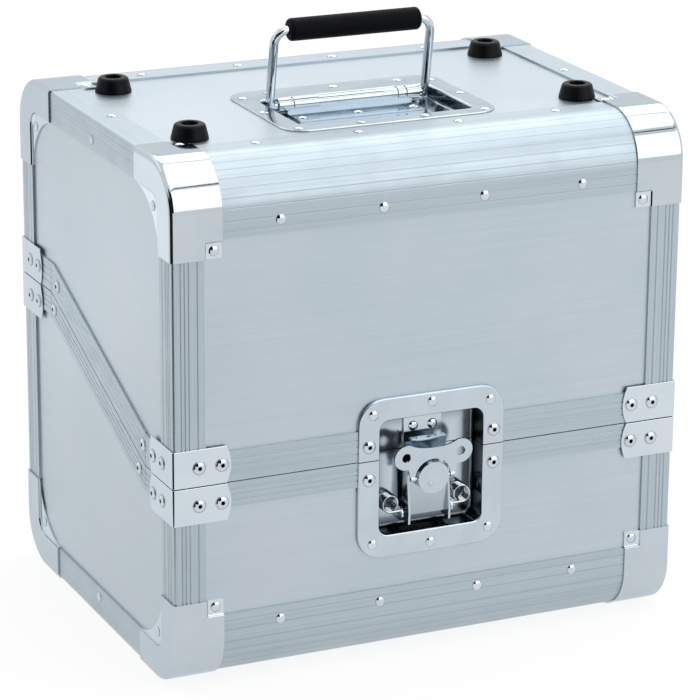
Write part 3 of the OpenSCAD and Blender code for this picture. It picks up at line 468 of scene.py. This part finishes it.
def angleOutline(depth, shade):
    # L section (u, v) from the corner: grooved outer faces, a small outer radius, flat inside
    leg, wall = case["angleLeg"], case["wall"]
    bend = angleProfile["corner"]
    total = 2 * (leg - bend) + bend * np.pi / 2
    grooves = [leg - g for g in angleProfile["grooves"]]
    outer, _, sink = groovedPath(leg, bend, grooves + [total - g for g in grooves], depth,
                                 angleProfile["width"])
    # painted shade on the groove floors of the outer faces
    paintedShade = np.concatenate([sink * shade, np.zeros(3)])
    return np.concatenate([outer, [[leg, wall], [wall, wall], [wall, leg]]]), paintedShade


def posts(name, node, body, front, low, high):
    # the angle's outline carried up from low to high at both corners of one face
    parts = []
    outline, shade = angleOutline(*angleProfile["post"])
    for left in (True, False):
        points, faces = prism(outline, 2, low - case["low"], high - case["low"])
        parts.append((fromCorner(points, left, front, False), faces))
    finishPiece(name, parts, profileZ, body, [node], sharp=50,
                paintedShade=np.tile(shade, 4))


def sideEdge(name, node, body, left, top):
    # the angle's outline carried along Y from one rounded edge to the other
    half = case["halfDeep"] - case["roundLeg"]
    outline, shade = angleOutline(*angleProfile["edge"])
    points, faces = prism(outline, 1, case["halfDeep"] - half, case["halfDeep"] + half)
    finishPiece(name, [(fromCorner(points, left, True, top), faces)], profileY, body, [node],
                sharp=50, paintedShade=np.tile(shade, 2))


railBevel = dict(front=0.2, rear=0.2, left=0.42, right=0.42)
low, top = case["low"] + case["roundLeg"], case["top"] - case["roundLeg"]
for where, split in (("front", case["splitFront"]), ("rear", case["splitRear"])):
    for part, start, end in (("base", low, split), ("lid", split + case["splitGap"], top)):
        posts(f"{part}{where.capitalize()}Posts", f"{part}_{where}_posts", part,
              where == "front", start, end)
for part in ("base", "lid"):
    for side in ("left", "right"):
        sideEdge(f"{part}{side.capitalize()}Edge", f"{part}_{side}_edge", part,
                 side == "left", part == "lid")
    for side, soft in railBevel.items():
        softened(f"{part}{side.capitalize()}Rail", f"{part}_{side}_rail",
                 profileX if side in ("front", "rear") else profileY, part,
                 soft)
print("angles and rails done")


# Corner plates: pressed sheet over a rounded corner, one grid from the wrap's edge, round
# the fold, down the side band and into the sunk gusset

cornerPlate = dict(reach=61.0, width=34.0, band=22.0, fold=3.0, earAcross=22.6,
                   earAlong=50.1, step=1.3, sunk=1.5, gussetCentre=66.0, bevel=0.25)


def cornerSheet():
    # s runs round the rounded edge, from the plate's reach over the arc to its reach, and u
    # from the wrap's inner edge over the fold to the gusset's hollow arc. The lines of the
    # grid lie close where the ears step down: ear = ease(across) * ease(along).
    c = cornerPlate
    t, r = case["sheet"], case["roundRadius"]
    close = np.array([1.1, 0.65, 0.33, 0, -0.33, -0.65, -1.1])
    straight = np.concatenate([[c["reach"], c["reach"] - 0.7, 57, 53], c["earAlong"] + close,
                               [45, 40, 36]])
    angle = np.radians(np.linspace(0, 90, 31))
    a = np.concatenate([np.full(len(straight), -t), r - (r + t) * np.cos(angle), straight[::-1]])
    b = np.concatenate([straight, r - (r + t) * np.sin(angle), np.full(len(straight), -t)])
    turn = np.concatenate([np.zeros(len(straight)), angle, np.full(len(straight), np.pi / 2)])
    na, nb = np.cos(turn), np.sin(turn)
    along = np.maximum(a, b)                       # distance from the corner on each face
    fold = np.radians(np.linspace(0, 90, 7))
    f = c["fold"]
    close = np.array([1.2, 0.6, 0.3, 0, -0.3, -0.6, -1.2])
    xWrap = np.concatenate([[c["width"], c["width"] - 0.6, 30, 26], c["earAcross"] + close,
                            [15, 8, f - t + 2]])
    wideX = np.concatenate([xWrap, f - t - f * np.sin(fold)])
    wideW = np.concatenate([np.zeros(len(xWrap)), f * (1 - np.cos(fold))])
    bandW = np.array([6, 12, 18, c["band"]])
    stepT = np.linspace(0, 1, 6)
    wideX = np.concatenate([wideX, np.full(len(bandW), -t), -t + c["sunk"] * ease(stepT)])
    wideW = np.concatenate([wideW, bandW, c["band"] + 0.4 + stepT * c["step"]])
    ear = (ease((wideX[None] - c["earAcross"]) / c["step"] + 0.5)
           * ease((along[:, None] - c["earAlong"]) / c["step"] + 0.5))
    w = wideW[None] + c["sunk"] * ear
    x = np.broadcast_to(wideX[None], w.shape)
    pa, pb = a[:, None] + na[:, None] * w, b[:, None] + nb[:, None] * w
    # the gusset: straight across from the band's inner line to the hollow arc
    last = np.stack([pa[:, -1], pb[:, -1]], -1)
    g = c["gussetCentre"]
    toEnd = last[0] - g
    radius = float(np.hypot(*toEnd))
    first = math.atan2(toEnd[1], toEnd[0])         # its end is the mirror image, pi/2 - first
    length = np.concatenate([[0], np.cumsum(np.hypot(*np.diff(last, axis=0).T))])
    theta = first + (length / length[-1]) * ((np.pi / 2 - 2 * first) % (2 * np.pi))
    hollow = g + radius * np.stack([np.cos(theta), np.sin(theta)], -1)
    share = np.linspace(0, 1, 6)[1:]
    gusset = last[:, None] + (hollow - last)[:, None] * share[None, :, None]
    xs = np.concatenate([x, np.full((len(a), len(share)), -t + c["sunk"])], 1)
    points = np.stack([xs, np.concatenate([pa, gusset[..., 0]], 1),
                       np.concatenate([pb, gusset[..., 1]], 1)], -1)
    # painted shade in the creases: at the foot of the side band's step and round the sunk ears
    crease = np.zeros(points.shape[:2])
    step = len(wideX) - len(stepT)
    crease[:, step:step + len(stepT)] = 0.55 * np.sin(np.pi * stepT) ** 2
    crease[:, :len(wideX)] = np.maximum(crease[:, :len(wideX)],
                                        0.5 * np.clip(1 - np.abs(2 * ear - 0.7), 0, 1))
    return points, gridFaces(*points.shape[:2]), crease.ravel()


cornerPoints, cornerFaces, cornerCrease = cornerSheet()
for part in ("base", "lid"):
    for where in ("front", "rear"):
        cornerPair("Corner", part, where, part == "lid", cornerPoints, cornerFaces,
                   (60.0, 60.0, 60.0), cornerPlate["bevel"], cornerCrease)
print("corner plates done")


# Split brackets: folded plates with bulged ends

bracket = dict(length=39.5, height=25.2, bulge=3.0, fold=1.9, bevel=0.42)


def bracketSheet():
    # u runs from one bulged end round the fold to the other, v up the height. The end at
    # v is length - (R - sqrt(R^2 - (v - h/2)^2)), an arc of radius R.
    h, bulge = bracket["height"], bracket["bulge"]
    t, f = case["sheet"], bracket["fold"]
    big = ((h / 2) ** 2 + bulge ** 2) / (2 * bulge)
    v = np.linspace(0, h, 19)
    reach = bracket["length"] - (big - np.sqrt(big ** 2 - (v - h / 2) ** 2))
    share = np.linspace(1, 0, 6)
    start = f - t
    flat = start + (reach[:, None] - start) * share[None]
    fold = np.radians(np.linspace(0, 90, 6))[1:-1]
    x = np.concatenate([flat, np.broadcast_to(start - f * np.sin(fold), (len(v), len(fold))),
                        np.full(flat.shape, -t)], 1)
    a = np.concatenate([np.full(flat.shape, -t),
                        np.broadcast_to(start - f * np.cos(fold), (len(v), len(fold))),
                        flat[:, ::-1]], 1)
    points = np.stack([x, a, np.broadcast_to(v[:, None], x.shape)], -1)
    return points, gridFaces(*points.shape[:2])


bracketPoints, bracketFaces = bracketSheet()
for part, lift in (("base", -bracket["height"]), ("lid", case["splitGap"])):
    for where, split in (("front", case["splitFront"]), ("rear", case["splitRear"])):
        height = split + lift
        cornerPair("Bracket", part, where, False,
                   bracketPoints + np.array([0, 0, height - case["low"]]), bracketFaces,
                   (40.0, 40.0, height), bracket["bevel"])
print("brackets done")


# Rivets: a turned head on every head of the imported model

rivetShape = dict(
    dome=4.2, edge=0.12, flange=0.25, mandrel=1.35, deep=1.4, steps=28,
    popFrom=4.0,                            # heads of a larger radius are pop rivets
    underside=50,                           # upright ones below this height face down
    railEnd=4.8, railEndHeights=(80, 290),  # those at the ends of the slanted rails
)


def headProfile(radius, height, large):
    # (r, h): an edge, then a ball of radius (r^2 + h^2)/2h. Large ones are pop rivets: a
    # thin flange first, and the stem's open end in the middle.
    s = rivetShape
    flange = s["flange"] if large else 0.0
    r = s["dome"] if large else radius
    rise = height - flange - s["edge"] if large else height - s["edge"]
    ball = (r * r + rise * rise) / (2 * rise)
    inner = s["mandrel"] + 0.2 if large else 0.0
    across = np.linspace(r, inner, 9)
    up = height - rise + np.sqrt(ball ** 2 - across ** 2) - (ball - rise)
    rows = [[across[0] + 0.001, -0.3]]
    if large:
        rows = [[radius - 0.08, -0.3], [radius, 0.08], [radius - 0.08, 0.2],
                [radius - 0.3, flange], [r + 0.1, flange]]
    rows += [[a, u] for a, u in zip(across, up)]
    if large:
        last = up[-1]
        rows += [[s["mandrel"] + 0.05, last - 0.05], [s["mandrel"], last - 0.25],
                 [s["mandrel"], last - s["deep"]], [0.0, last - s["deep"] + 0.15]]
    # painted shade under the edge, at the dome's foot and down the open stem
    headShade = np.zeros(len(rows))
    headShade[:3] = (0.9, 0.5, 0.1)
    if large:
        headShade[:7] = (0.9, 0.7, 0.25, 0.1, 0.35, 0.6, 0.15)
        headShade[-4:] = (0.5, 1, 1, 1)
    return np.array(rows), headShade


def looseHeads(node):
    # lowest and highest corner (mm) of every separate head in the node's mesh
    shape = merged(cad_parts[node].data)
    seen, boxes = set(), []
    for vert in shape.verts:
        if vert in seen:
            continue
        group, queue = [], [vert]
        seen.add(vert)
        while queue:
            here = queue.pop()
            group.append(here.co[:])
            for edge in here.link_edges:
                other = edge.other_vert(here)
                if other not in seen:
                    seen.add(other)
                    queue.append(other)
        group = np.array(group) / mm
        boxes.append((group.min(0), group.max(0)))
    shape.free()
    return boxes


def rivets(name, node, body):
    # each packed head's box gives the new head: it points along the box's thinnest side,
    # away from the case, and stands at middle - outward * thickness / 2
    s = rivetShape
    parts, headShades = [], []
    for low, high in looseHeads(node):
        size = high - low
        axis = int(np.argmin(size))
        middle = (low + high) / 2
        outward = np.zeros(3)
        outward[axis] = -1.0 if middle[axis] < (s["underside"] if axis == 2 else 0) else 1.0
        at = middle - outward * size[axis] / 2
        radius = float(np.delete(size, axis).mean() / 2)
        if axis == 0 and s["railEndHeights"][0] < middle[2] < s["railEndHeights"][1]:
            radius = max(radius, s["railEnd"])
        profile, headShade = headProfile(radius, float(size[axis]), radius > s["popFrom"])
        parts.append(turned(profile, at, outward, s["steps"]))
        headShades.append(np.repeat(headShade, s["steps"]))
    finishPiece(name, parts, chromeRivet, body, [node], sharp=45,
                paintedShade=np.concatenate(headShades))
    return len(parts)


for part in ("base", "lid"):
    print(part, "rivets:", rivets(f"{part}Rivets", f"{part}_rivets", part))


# Pressed dishes: rings from the folded rim over the margin and down into the well

def roundedRing(box, radius, count=9):
    # points round a rectangle (u0, u1, v0, v1) with rounded corners, the same number on any
    u0, u1, v0, v1 = box
    radius = max(radius, 0.05)
    centres = [(u1 - radius, v1 - radius), (u0 + radius, v1 - radius),
               (u0 + radius, v0 + radius), (u1 - radius, v0 + radius)]
    sides = [[(u1 + u0) / 2, v1], [u0, (v0 + v1) / 2], [(u1 + u0) / 2, v0], [u1, (v0 + v1) / 2]]
    share = np.linspace(0, 1, 14)[1:-1, None]
    ring = []
    for turn, (centre, side) in enumerate(zip(centres, sides)):
        corner = arc(centre, radius, 90 * turn, 90 * turn + 90, count)
        opposite = 2 * np.array(side) - corner[-1]
        ring += [corner, corner[-1] + (opposite - corner[-1]) * share]
    return np.concatenate(ring)


def inset(box, by):
    # a rectangle (u0, u1, v0, v1) with each side moved in by the same distance
    return (box[0] + by, box[1] - by, box[2] + by, box[3] - by)


def dishSheet(d, across, wellAcross, face, rim):
    # rings (u, v, depth): the rim's fold, the flat margin, the well's lip, its wall, the
    # fold at its floor and the floor. A fold of radius f turns by (f - f cos q, f sin q).
    # across and wellAcross are the ranges of v, and rim gives the depth of the rim's edge.
    q = np.radians(np.linspace(0, 90, 7))
    rims, lips, base, floor = d["rimFold"], d["lip"], d["floorFold"], d["floor"]
    outer = (-d["width"] / 2, d["width"] / 2, *across)
    well = (-d["wellWidth"] / 2, d["wellWidth"] / 2, *wellAcross)
    outerRadius, wellRadius = d["radius"], d["wellRadius"]
    rings = [(outer, outerRadius, None)]
    turns = list(zip(1 - np.cos(q), 1 - np.sin(q)))
    rings += [(inset(outer, rims * c), outerRadius - rims * c, face + rims * s)
              for c, s in turns]
    rings += [(inset(well, -lips * s), wellRadius + lips * s, face + lips * c)
              for c, s in turns]
    rings += [(inset(well, base * c), wellRadius - base * c, floor - base * s)
              for c, s in turns]
    rings += [(inset(well, base + d), max(wellRadius - base - d, 1.0), floor) for d in (4, 9, 14)]
    rows = []
    for box, radius, depth in rings:
        ring = roundedRing(box, radius)
        depths = rim(ring) if depth is None else np.full(len(ring), depth)
        rows.append(np.column_stack([ring, depths]))
    points = np.stack(rows)
    faces = gridFaces(*points.shape[:2], closeColumns=True)
    last = len(rows) - 1
    # painted shade from just under the lip to the floor, fading out over the floor
    level = np.concatenate([np.zeros(8), [0, 0, 0, 0, 0.1, 0.45, 0.8], np.linspace(1, 0.75, 7),
                            [0.4, 0.12, 0.0]])
    paintedShade = np.repeat(level, len(ring))
    faces.append([last * len(ring) + k for k in range(len(ring))])
    return points.reshape(-1, 3), faces, paintedShade


latchDish = dict(width=106.5, up=42.3, down=69.0, radius=18.0, wellWidth=75.5, wellUp=26.8,
                 wellDown=53.2, wellRadius=7.0, floor=14.8, rimFold=1.0, lip=1.1,
                 floorFold=2.2, rimDeep=1.3, railDeep=0.02, bevel=0.2, shade=0.97)
split = case["splitFront"]


def latchRim(ring):
    # the rim folds back to the panel, and stops on the rails where it crosses their bands
    over = (ring[:, 1] > split - case["baseBand"]) & (ring[:, 1] < split + case["lidBand"])
    return np.where(over, latchDish["railDeep"], latchDish["rimDeep"])


d = latchDish
dishPoints, dishFaces, dishShade = dishSheet(
    d, (split - d["down"], split + d["up"]), (split - d["wellDown"], split + d["wellUp"]),
    -case["sheet"], latchRim)
dishPlaced = dishPoints[:, [0, 2, 1]] - [0, case["halfDeep"], 0]
for part, at, away in (("base", split, (0, 0, 1)), ("lid", split + case["splitGap"], (0, 0, -1))):
    finishPiece(f"{part}LatchDish", [(dishPlaced, dishFaces)], satinChrome, part,
                [f"latch_{part}_dish"], sheet=case["drawnSheet"],
                facing=(0, 60, split), bevel=d["bevel"], sharp=50, cuts=[((0, 0, at), away)],
                paintedShade=dishShade * d["shade"])

lug = dict(radius=5.0, depth=9.0, below=42.7, sides=(17.5, 19.0), bevel=0.2)
lugOutline = np.concatenate([[[d["floor"], -lug["radius"]]],
                             arc((lug["depth"], 0.0), lug["radius"], 270, 90, 20),
                             [[d["floor"], lug["radius"]]]])
lugOutline += [-case["halfDeep"], split - lug["below"]]
lugs = [prism(lugOutline, 0, *[side * x for x in lug["sides"]]) for side in (-1, 1)]
finishPiece("latchLugs", lugs, satinChrome, "base", [],
            bevel=lug["bevel"])

handleDish = dict(width=155.0, depth=113.0, front=57.0, radius=17.0, wellWidth=125.0,
                  wellFront=70.5, wellBack=144.0, wellRadius=6.0, floor=9.8, rimFold=0.7,
                  lip=1.6, floorFold=2.2, face=0.3, rimDeep=1.45, wall=1.1, shade=0.3)
h = handleDish
front = h["front"] - case["halfDeep"]
trayPoints, trayFaces, trayShade = dishSheet(
    h, (front, front + h["depth"]),
    (h["wellFront"] - case["halfDeep"], h["wellBack"] - case["halfDeep"]), h["face"],
    lambda ring: np.full(len(ring), h["rimDeep"]))
trayPlaced = trayPoints * [1, 1, -1] + [0, 0, case["top"]]
finishPiece("handleDish", [(trayPlaced, trayFaces)], trayZinc, "lid", ["handle_dish"],
            sheet=h["wall"], facing=(0, -30, 200), sharp=50,
            paintedShade=trayShade * h["shade"])
print("dishes done")


# Latch works, hinges and strap: softened copies of the imported shapes. Each row ends with
# the bevel and the depths from which the recess attribute's painted shade rises.

for name, node, material, body, slotName, soft, deep in (
        ("latchFrame", "latch_frame", satinChrome, "latch_frame_body", "latch_plate", 0.3,
         (2.5, 9.0, 0.75)),
        ("latchHook", "latch_hook", satinChrome, "latch_hook_body", "latch_plate", 0.25,
         (5.0, 11.0, 0.7)),
        ("latchKnob", "latch_knob", satinChrome, "latch_knob_body", "latch_key_metal", 0.35,
         (-2.8, -1.6, 1.0)),
        ("latchKey", "latch_key", satinChrome, "latch_key_body", "latch_key_metal", 0.4,
         (-1.0, 2.0, 0.6)),
        ("latchKeeper", "latch_keeper", satinChrome, "lid", "latch_plate", 0.25, None),
        ("latchPivotPin", "latch_pivot_pin", plainPin, "base", "plain_steel", 0.2, None),
        ("hingeBaseLeaves", "hinge_base_leaves", zincHinge, "base", "hinge_plate", 0.3, None),
        ("hingeLidLeaves", "hinge_lid_leaves", zincHinge, "lid", "hinge_plate", 0.3, None),
        ("hingePins", "hinge_pins", plainPin, "base", "plain_steel", 0.3, None),
        ("handleStrap", "handle_strap", satinChrome, "lid", "latch_plate", 0.35, None)):
    softened(name, node, material, body, soft, deep)

# the spindle's end stands on the knob's face, off its middle
knobStud = dict(at=(-2.0, -145.6, 121.6), lean=4.0, radius=2.1, height=0.5, steps=32)
q = math.radians(knobStud["lean"])
studProfile, studShade = headProfile(knobStud["radius"], knobStud["height"], False)
stud = turned(studProfile, knobStud["at"], (0, -math.cos(q), -math.sin(q)), knobStud["steps"])
# with a rivet head's painted shade under its edge
finishPiece("latchKnobStud", [stud], satinChrome, "latch_knob_body", [],
            sharp=45, paintedShade=np.repeat(studShade, knobStud["steps"]))

liningEdge = 0.9    # bevel on the foam's cut edges
for part in ("base", "lid"):
    lining = softened(f"{part}Lining", f"{part}_lining", liningFoam, part,
                      liningEdge)


def tubeAlong(path, radius, side, steps):
    # rings round a path: p + r (cos t * n + sin t * side), n across the path; ends closed
    along = np.gradient(path, axis=0)
    along /= np.linalg.norm(along, axis=1)[:, None]
    n = np.cross(along, side)
    n /= np.linalg.norm(n, axis=1)[:, None]
    b = np.cross(n, along)
    t = np.linspace(0, 2 * np.pi, steps, endpoint=False)
    points = (path[:, None] + radius * (np.cos(t)[None, :, None] * n[:, None]
                                        + np.sin(t)[None, :, None] * b[:, None]))
    faces = gridFaces(len(path), steps, closeColumns=True)
    last = (len(path) - 1) * steps
    return points.reshape(-1, 3), faces + [list(range(steps)), list(range(last, last + steps))]


# a helix from the bottom of its front turn, which a straight tail reaches from the frame
spring = dict(x=26.3, below=34.7, radius=5.6, wire=0.85, turns=4.1, front=5.8, back=14.0,
              tail=8.5, tailEnd=0.8)
w = spring
turn = np.linspace(0, w["turns"] * 2 * np.pi, 150)
depth = w["front"] + (w["back"] - w["front"]) * turn / turn[-1]
helix = np.stack([w["radius"] * np.sin(turn), depth, -w["radius"] * np.cos(turn)], -1)
tail = np.linspace((-w["tail"], w["front"], -w["radius"]),
                   (-w["tailEnd"], w["front"], -w["radius"]), 6)
coil = np.concatenate([tail, helix]) + [w["x"], -case["halfDeep"], split - w["below"]]
coils = [tubeAlong(coil * [side, 1, 1], w["wire"], np.array([0.0, 1.0, 0.0]), 10)
         for side in (-1, 1)]
finishPiece("latchSprings", coils, springSteel, "base", ["latch_springs"])


# Handle: bent wire and a foam grip, leaning forward about the pivot

handle = dict(pivotY=-5.0, pivotZ=350.8, lean=9.5, length=53.8, arm=57.4, toe=33.0, wire=3.05,
              lowBend=4.5, topBend=9.65, grip=7.7, gripLength=95.5, gripEdge=2.4)


def leaned(points):
    # turned about X by the lean, then moved to the pivot
    q = math.radians(handle["lean"])
    x, y, z = points.T
    return np.stack([x, y * math.cos(q) - z * math.sin(q) + handle["pivotY"],
                     y * math.sin(q) + z * math.cos(q) + handle["pivotZ"]], -1)


g = handle
half = np.concatenate([
    np.linspace((g["toe"], 0), (g["arm"] - g["lowBend"], 0), 5)[:-1],
    arc((g["arm"] - g["lowBend"], g["lowBend"]), g["lowBend"], -90, 0, 12),
    np.linspace((g["arm"], g["lowBend"]), (g["arm"], g["length"] - g["topBend"]), 8)[1:-1],
    arc((g["arm"] - g["topBend"], g["length"] - g["topBend"]), g["topBend"], 0, 90, 14),
    np.linspace((g["arm"] - g["topBend"], g["length"]), (0, g["length"]), 6)[1:]])
whole = np.concatenate([half, (half * [-1, 1])[::-1][1:]])
wirePath = leaned(np.column_stack([whole[:, 0], np.zeros(len(whole)), whole[:, 1]]))
across = leaned(np.array([[0.0, 1.0, 0.0]])) - leaned(np.array([[0.0, 0.0, 0.0]]))
finishPiece("handleBail", [tubeAlong(wirePath, g["wire"], across[0], 28)], chromeWire, "handle",
            ["handle_bail"], bevel=0.4)

e = g["gripEdge"]
gripProfile = np.concatenate([
    [[g["wire"] - 0.1, 0.6], [g["wire"] + 0.4, 0.15]],
    arc((g["grip"] - e, e), e, 270, 360, 8),
    np.linspace((g["grip"], e), (g["grip"], g["gripLength"] - e), 32)[1:-1],
    arc((g["grip"] - e, g["gripLength"] - e), e, 0, 90, 8),
    [[g["wire"] + 0.4, g["gripLength"] - 0.15], [g["wire"] - 0.1, g["gripLength"] - 0.6]]])
gripPoints, gripFaces = turned(gripProfile, (-g["gripLength"] / 2, 0, g["length"]), (1, 0, 0), 48)
grip = finishPiece("handleGrip", [(leaned(gripPoints), gripFaces)], gripFoam, "handle",
                   ["handle_grip"])
print("latch works, hinges and handle done")


# Feet: moulded rubber cones with a well for a cross-recessed screw

foot = dict(x=140.75, y=69.0, floor=352.3, base=12.4, top=10.6, height=10.3, round=2.5,
            hole=5.5, holeFloor=4.0, screw=4.1, screwHeight=2.3, shank=2.1, shankDeep=3.9,
            cross=(0.48, 2.0, 1.1))    # half width, reach and depth of the cross's arms
f = foot
footProfile = np.concatenate([
    [[2.2, 0.05], [2.2, f["holeFloor"]], [f["hole"] - 0.6, f["holeFloor"]],
     [f["hole"], f["holeFloor"] + 0.6], [f["hole"], f["height"] - 0.7]],
    arc((f["hole"] + 0.7, f["height"] - 0.7), 0.7, 180, 90, 5)[1:],
    arc((f["top"] - f["round"], f["height"] - f["round"]), f["round"], 90, 9, 9),
    [[f["base"] - 0.35, 2.4], [f["base"] - 0.08, 1.4], [f["base"], 0.8], [f["base"], 0.05]]])
across = np.linspace(0.001, f["screw"], 16)
ball = (f["screw"] ** 2 + f["screwHeight"] ** 2) / (2 * f["screwHeight"])
screwProfile = np.concatenate([
    np.column_stack([across, np.sqrt(ball ** 2 - across ** 2) - ball + f["screwHeight"]]),
    [[f["screw"], -0.2], [f["shank"], -0.2], [f["shank"], -f["shankDeep"]],
     [0.001, -f["shankDeep"]]]])
arm, reach, deep = f["cross"]
feet, screws = [], []
for sx in (-1, 1):
    for sy in (-1, 1):
        at = np.array([sx * f["x"], sy * f["y"], f["floor"]])
        feet.append(turned(footProfile, at, (0, 0, 1), 56))
        points, faces = turned(screwProfile, at + [0, 0, f["holeFloor"]], (0, 0, 1), 64)
        local = np.abs(points - at)
        slot = sum(ease((arm + 0.15 - local[:, i]) / 0.3) * ease((reach - local[:, 1 - i]) / 0.3)
                   for i in (0, 1))
        head = points[:, 2] > at[2] + f["holeFloor"]
        points[:, 2] -= np.where(head, np.minimum(slot, 1) * deep, 0)
        screws.append((points, faces))
finishPiece("stackingFeet", feet, footRubber, "lid", ["stacking_feet"])
finishPiece("footScrews", screws, plainPin, "lid", ["foot_screws"], sharp=50)
print("feet done")


# Stage, light and camera

studio = dict(
    floor="#F4F5F6", reach=6.0,
    white=0.86, glow=1.02,                 # how far the floor shows as white, how bright
    sky=0.8, sheen=1.0,                    # the world as light, and as it is seen
    # black cards, seen only in reflections: (middle, width, lowest and highest edge). The
    # last one is a bar between the two front boxes.
    cards=dict(cornerCard=((-0.436, -0.259), 0.46, 0.0, 0.42),
               cameraCard=((-1.02, -1.72), 2.60, 0.32, 2.10),
               boxBar=((0.88, -1.13), 1.7, 1.84, 1.94)),
    # softboxes: azimuth (0 is the front, + to the right), elevation, distance, width,
    # height, radiance and what they face, where that isn't the middle of the case
    lamps=dict(frontRight=(30, 25, 2.5, 2.6, 1.85, 1.0),
               overhead=(50, 73, 2.5, 2.8, 1.8, 1.0),
               backRight=(150, 46, 2.6, 2.6, 1.3, 1.5),
               leftBack=(-140, 38, 2.6, 2.0, 1.3, 0.4),
               lowLeftBack=(-155.3, -18, 0.75, 0.19, 0.2, 0.3, (-0.185, -0.112, 0.322))),
)


def stageSheet(name, corners, material):
    # one face through four corners, for the studio's floor and cards, in metres
    sheet = bpy.data.meshes.new(name)
    sheet.from_pydata([list(map(float, corner)) for corner in corners], [], [(0, 1, 2, 3)])
    sheet.materials.append(material)
    piece = bpy.data.objects.new(name, sheet)
    bpy.context.scene.collection.objects.link(piece)
    return piece


def shownWhite(tree):
    # 1 for rays that look at the studio (from the camera, off metal or through glass)
    path = addNode(tree, "LightPath")
    looks = addNode(tree, "Math", {0: path.outputs["Is Camera Ray"],
                                   1: path.outputs["Is Glossy Ray"]}, operation="MAXIMUM")
    return addNode(tree, "Math", {0: looks, 1: path.outputs["Is Transmission Ray"]},
                   operation="MAXIMUM")


paper, tree, surface = startMaterial("palePaper", Roughness=0.9)
surface.inputs["Base Color"].default_value = hexColour(studio["floor"])
glow = addNode(tree, "Emission", {"Color": (1, 1, 1, 1), "Strength": studio["glow"]})
share = addNode(tree, "Math", {0: shownWhite(tree), 1: studio["white"]}, operation="MULTIPLY")
paperMix = addNode(tree, "MixShader", {0: share, 1: surface,
                                       2: glow})
feed(tree, tree.nodes["Material Output"], "Surface", paperMix)
r = studio["reach"]
stageSheet("studioFloor", [(-r, -r, 0), (r, -r, 0), (r, r, 0), (-r, r, 0)], paper)

# black cards: they draw the dark lines along the folds of the plates and the dark crescents
# on the rivets, and a bar splits the bright arc of the corner plates
velvet, tree, surface = startMaterial("blackCard", Roughness=1.0)
surface.inputs["Base Color"].default_value = hexColour("#050506")
for name, ((cx, cy), wide, low, high) in studio["cards"].items():
    # upright, square to the line from the case: middle +- half the width across it
    ax, ay = np.array([-cy, cx]) / math.hypot(cx, cy) * wide / 2
    card = stageSheet(name, [(cx - ax, cy - ay, low), (cx + ax, cy + ay, low),
                             (cx + ax, cy + ay, high), (cx - ax, cy - ay, high)], velvet)
    card.visible_camera = card.visible_diffuse = card.visible_shadow = False

world = bpy.data.worlds.new("studio")
bpy.context.scene.world = world
world.use_nodes = True
tree = world.node_tree
back = tree.nodes["Background"]
back.inputs["Color"].default_value = (1, 1, 1, 1)
back.inputs["Strength"].default_value = studio["sky"]
seen = addNode(tree, "Background", {"Color": (1, 1, 1, 1), "Strength": studio["sheen"]})
mix = addNode(tree, "MixShader", {0: shownWhite(tree), 1: back, 2: seen})
feed(tree, tree.nodes["World Output"], "Surface", mix)


def softbox(name, azimuth, elevation, distance, wide, high, radiance, target=(0, 0, 0.2)):
    # an area lamp facing the target, at target + distance * (sin q cos e, -cos q cos e,
    # sin e), sizes in metres. Its watts are pi * area * radiance.
    q, e = math.radians(azimuth), math.radians(elevation)
    lamp = bpy.data.lights.new(name, "AREA")
    lamp.shape = "RECTANGLE"
    lamp.size, lamp.size_y, lamp.energy = wide, high, math.pi * wide * high * radiance
    place = bpy.data.objects.new(name, lamp)
    place.location = (target[0] + distance * math.sin(q) * math.cos(e),
                      target[1] - distance * math.cos(q) * math.cos(e),
                      target[2] + distance * math.sin(e))
    place.rotation_euler = (math.pi / 2 - e, 0, q)
    bpy.context.scene.collection.objects.link(place)


for name, lamp in studio["lamps"].items():
    softbox(name, *lamp)

view = dict(lens=174.6, azimuth=-24.69, elevation=18.09, roll=0.437,
            at=(-0.9297, -2.0340, 0.9010))
camera = bpy.data.cameras.new("photoCamera")
camera.lens, camera.sensor_width = view["lens"], 36.0
cameraObject = bpy.data.objects.new("photoCamera", camera)
cameraObject.location = view["at"]
turnedBy = (Matrix.Rotation(math.radians(view["azimuth"]), 3, "Z")
            @ Matrix.Rotation(math.radians(90 - view["elevation"]), 3, "X")
            @ Matrix.Rotation(math.radians(view["roll"]), 3, "Z"))
cameraObject.rotation_euler = turnedBy.to_euler()
bpy.context.scene.collection.objects.link(cameraObject)
bpy.context.scene.camera = cameraObject
bpy.context.scene.view_settings.view_transform = "Standard"
print("stage and light done")
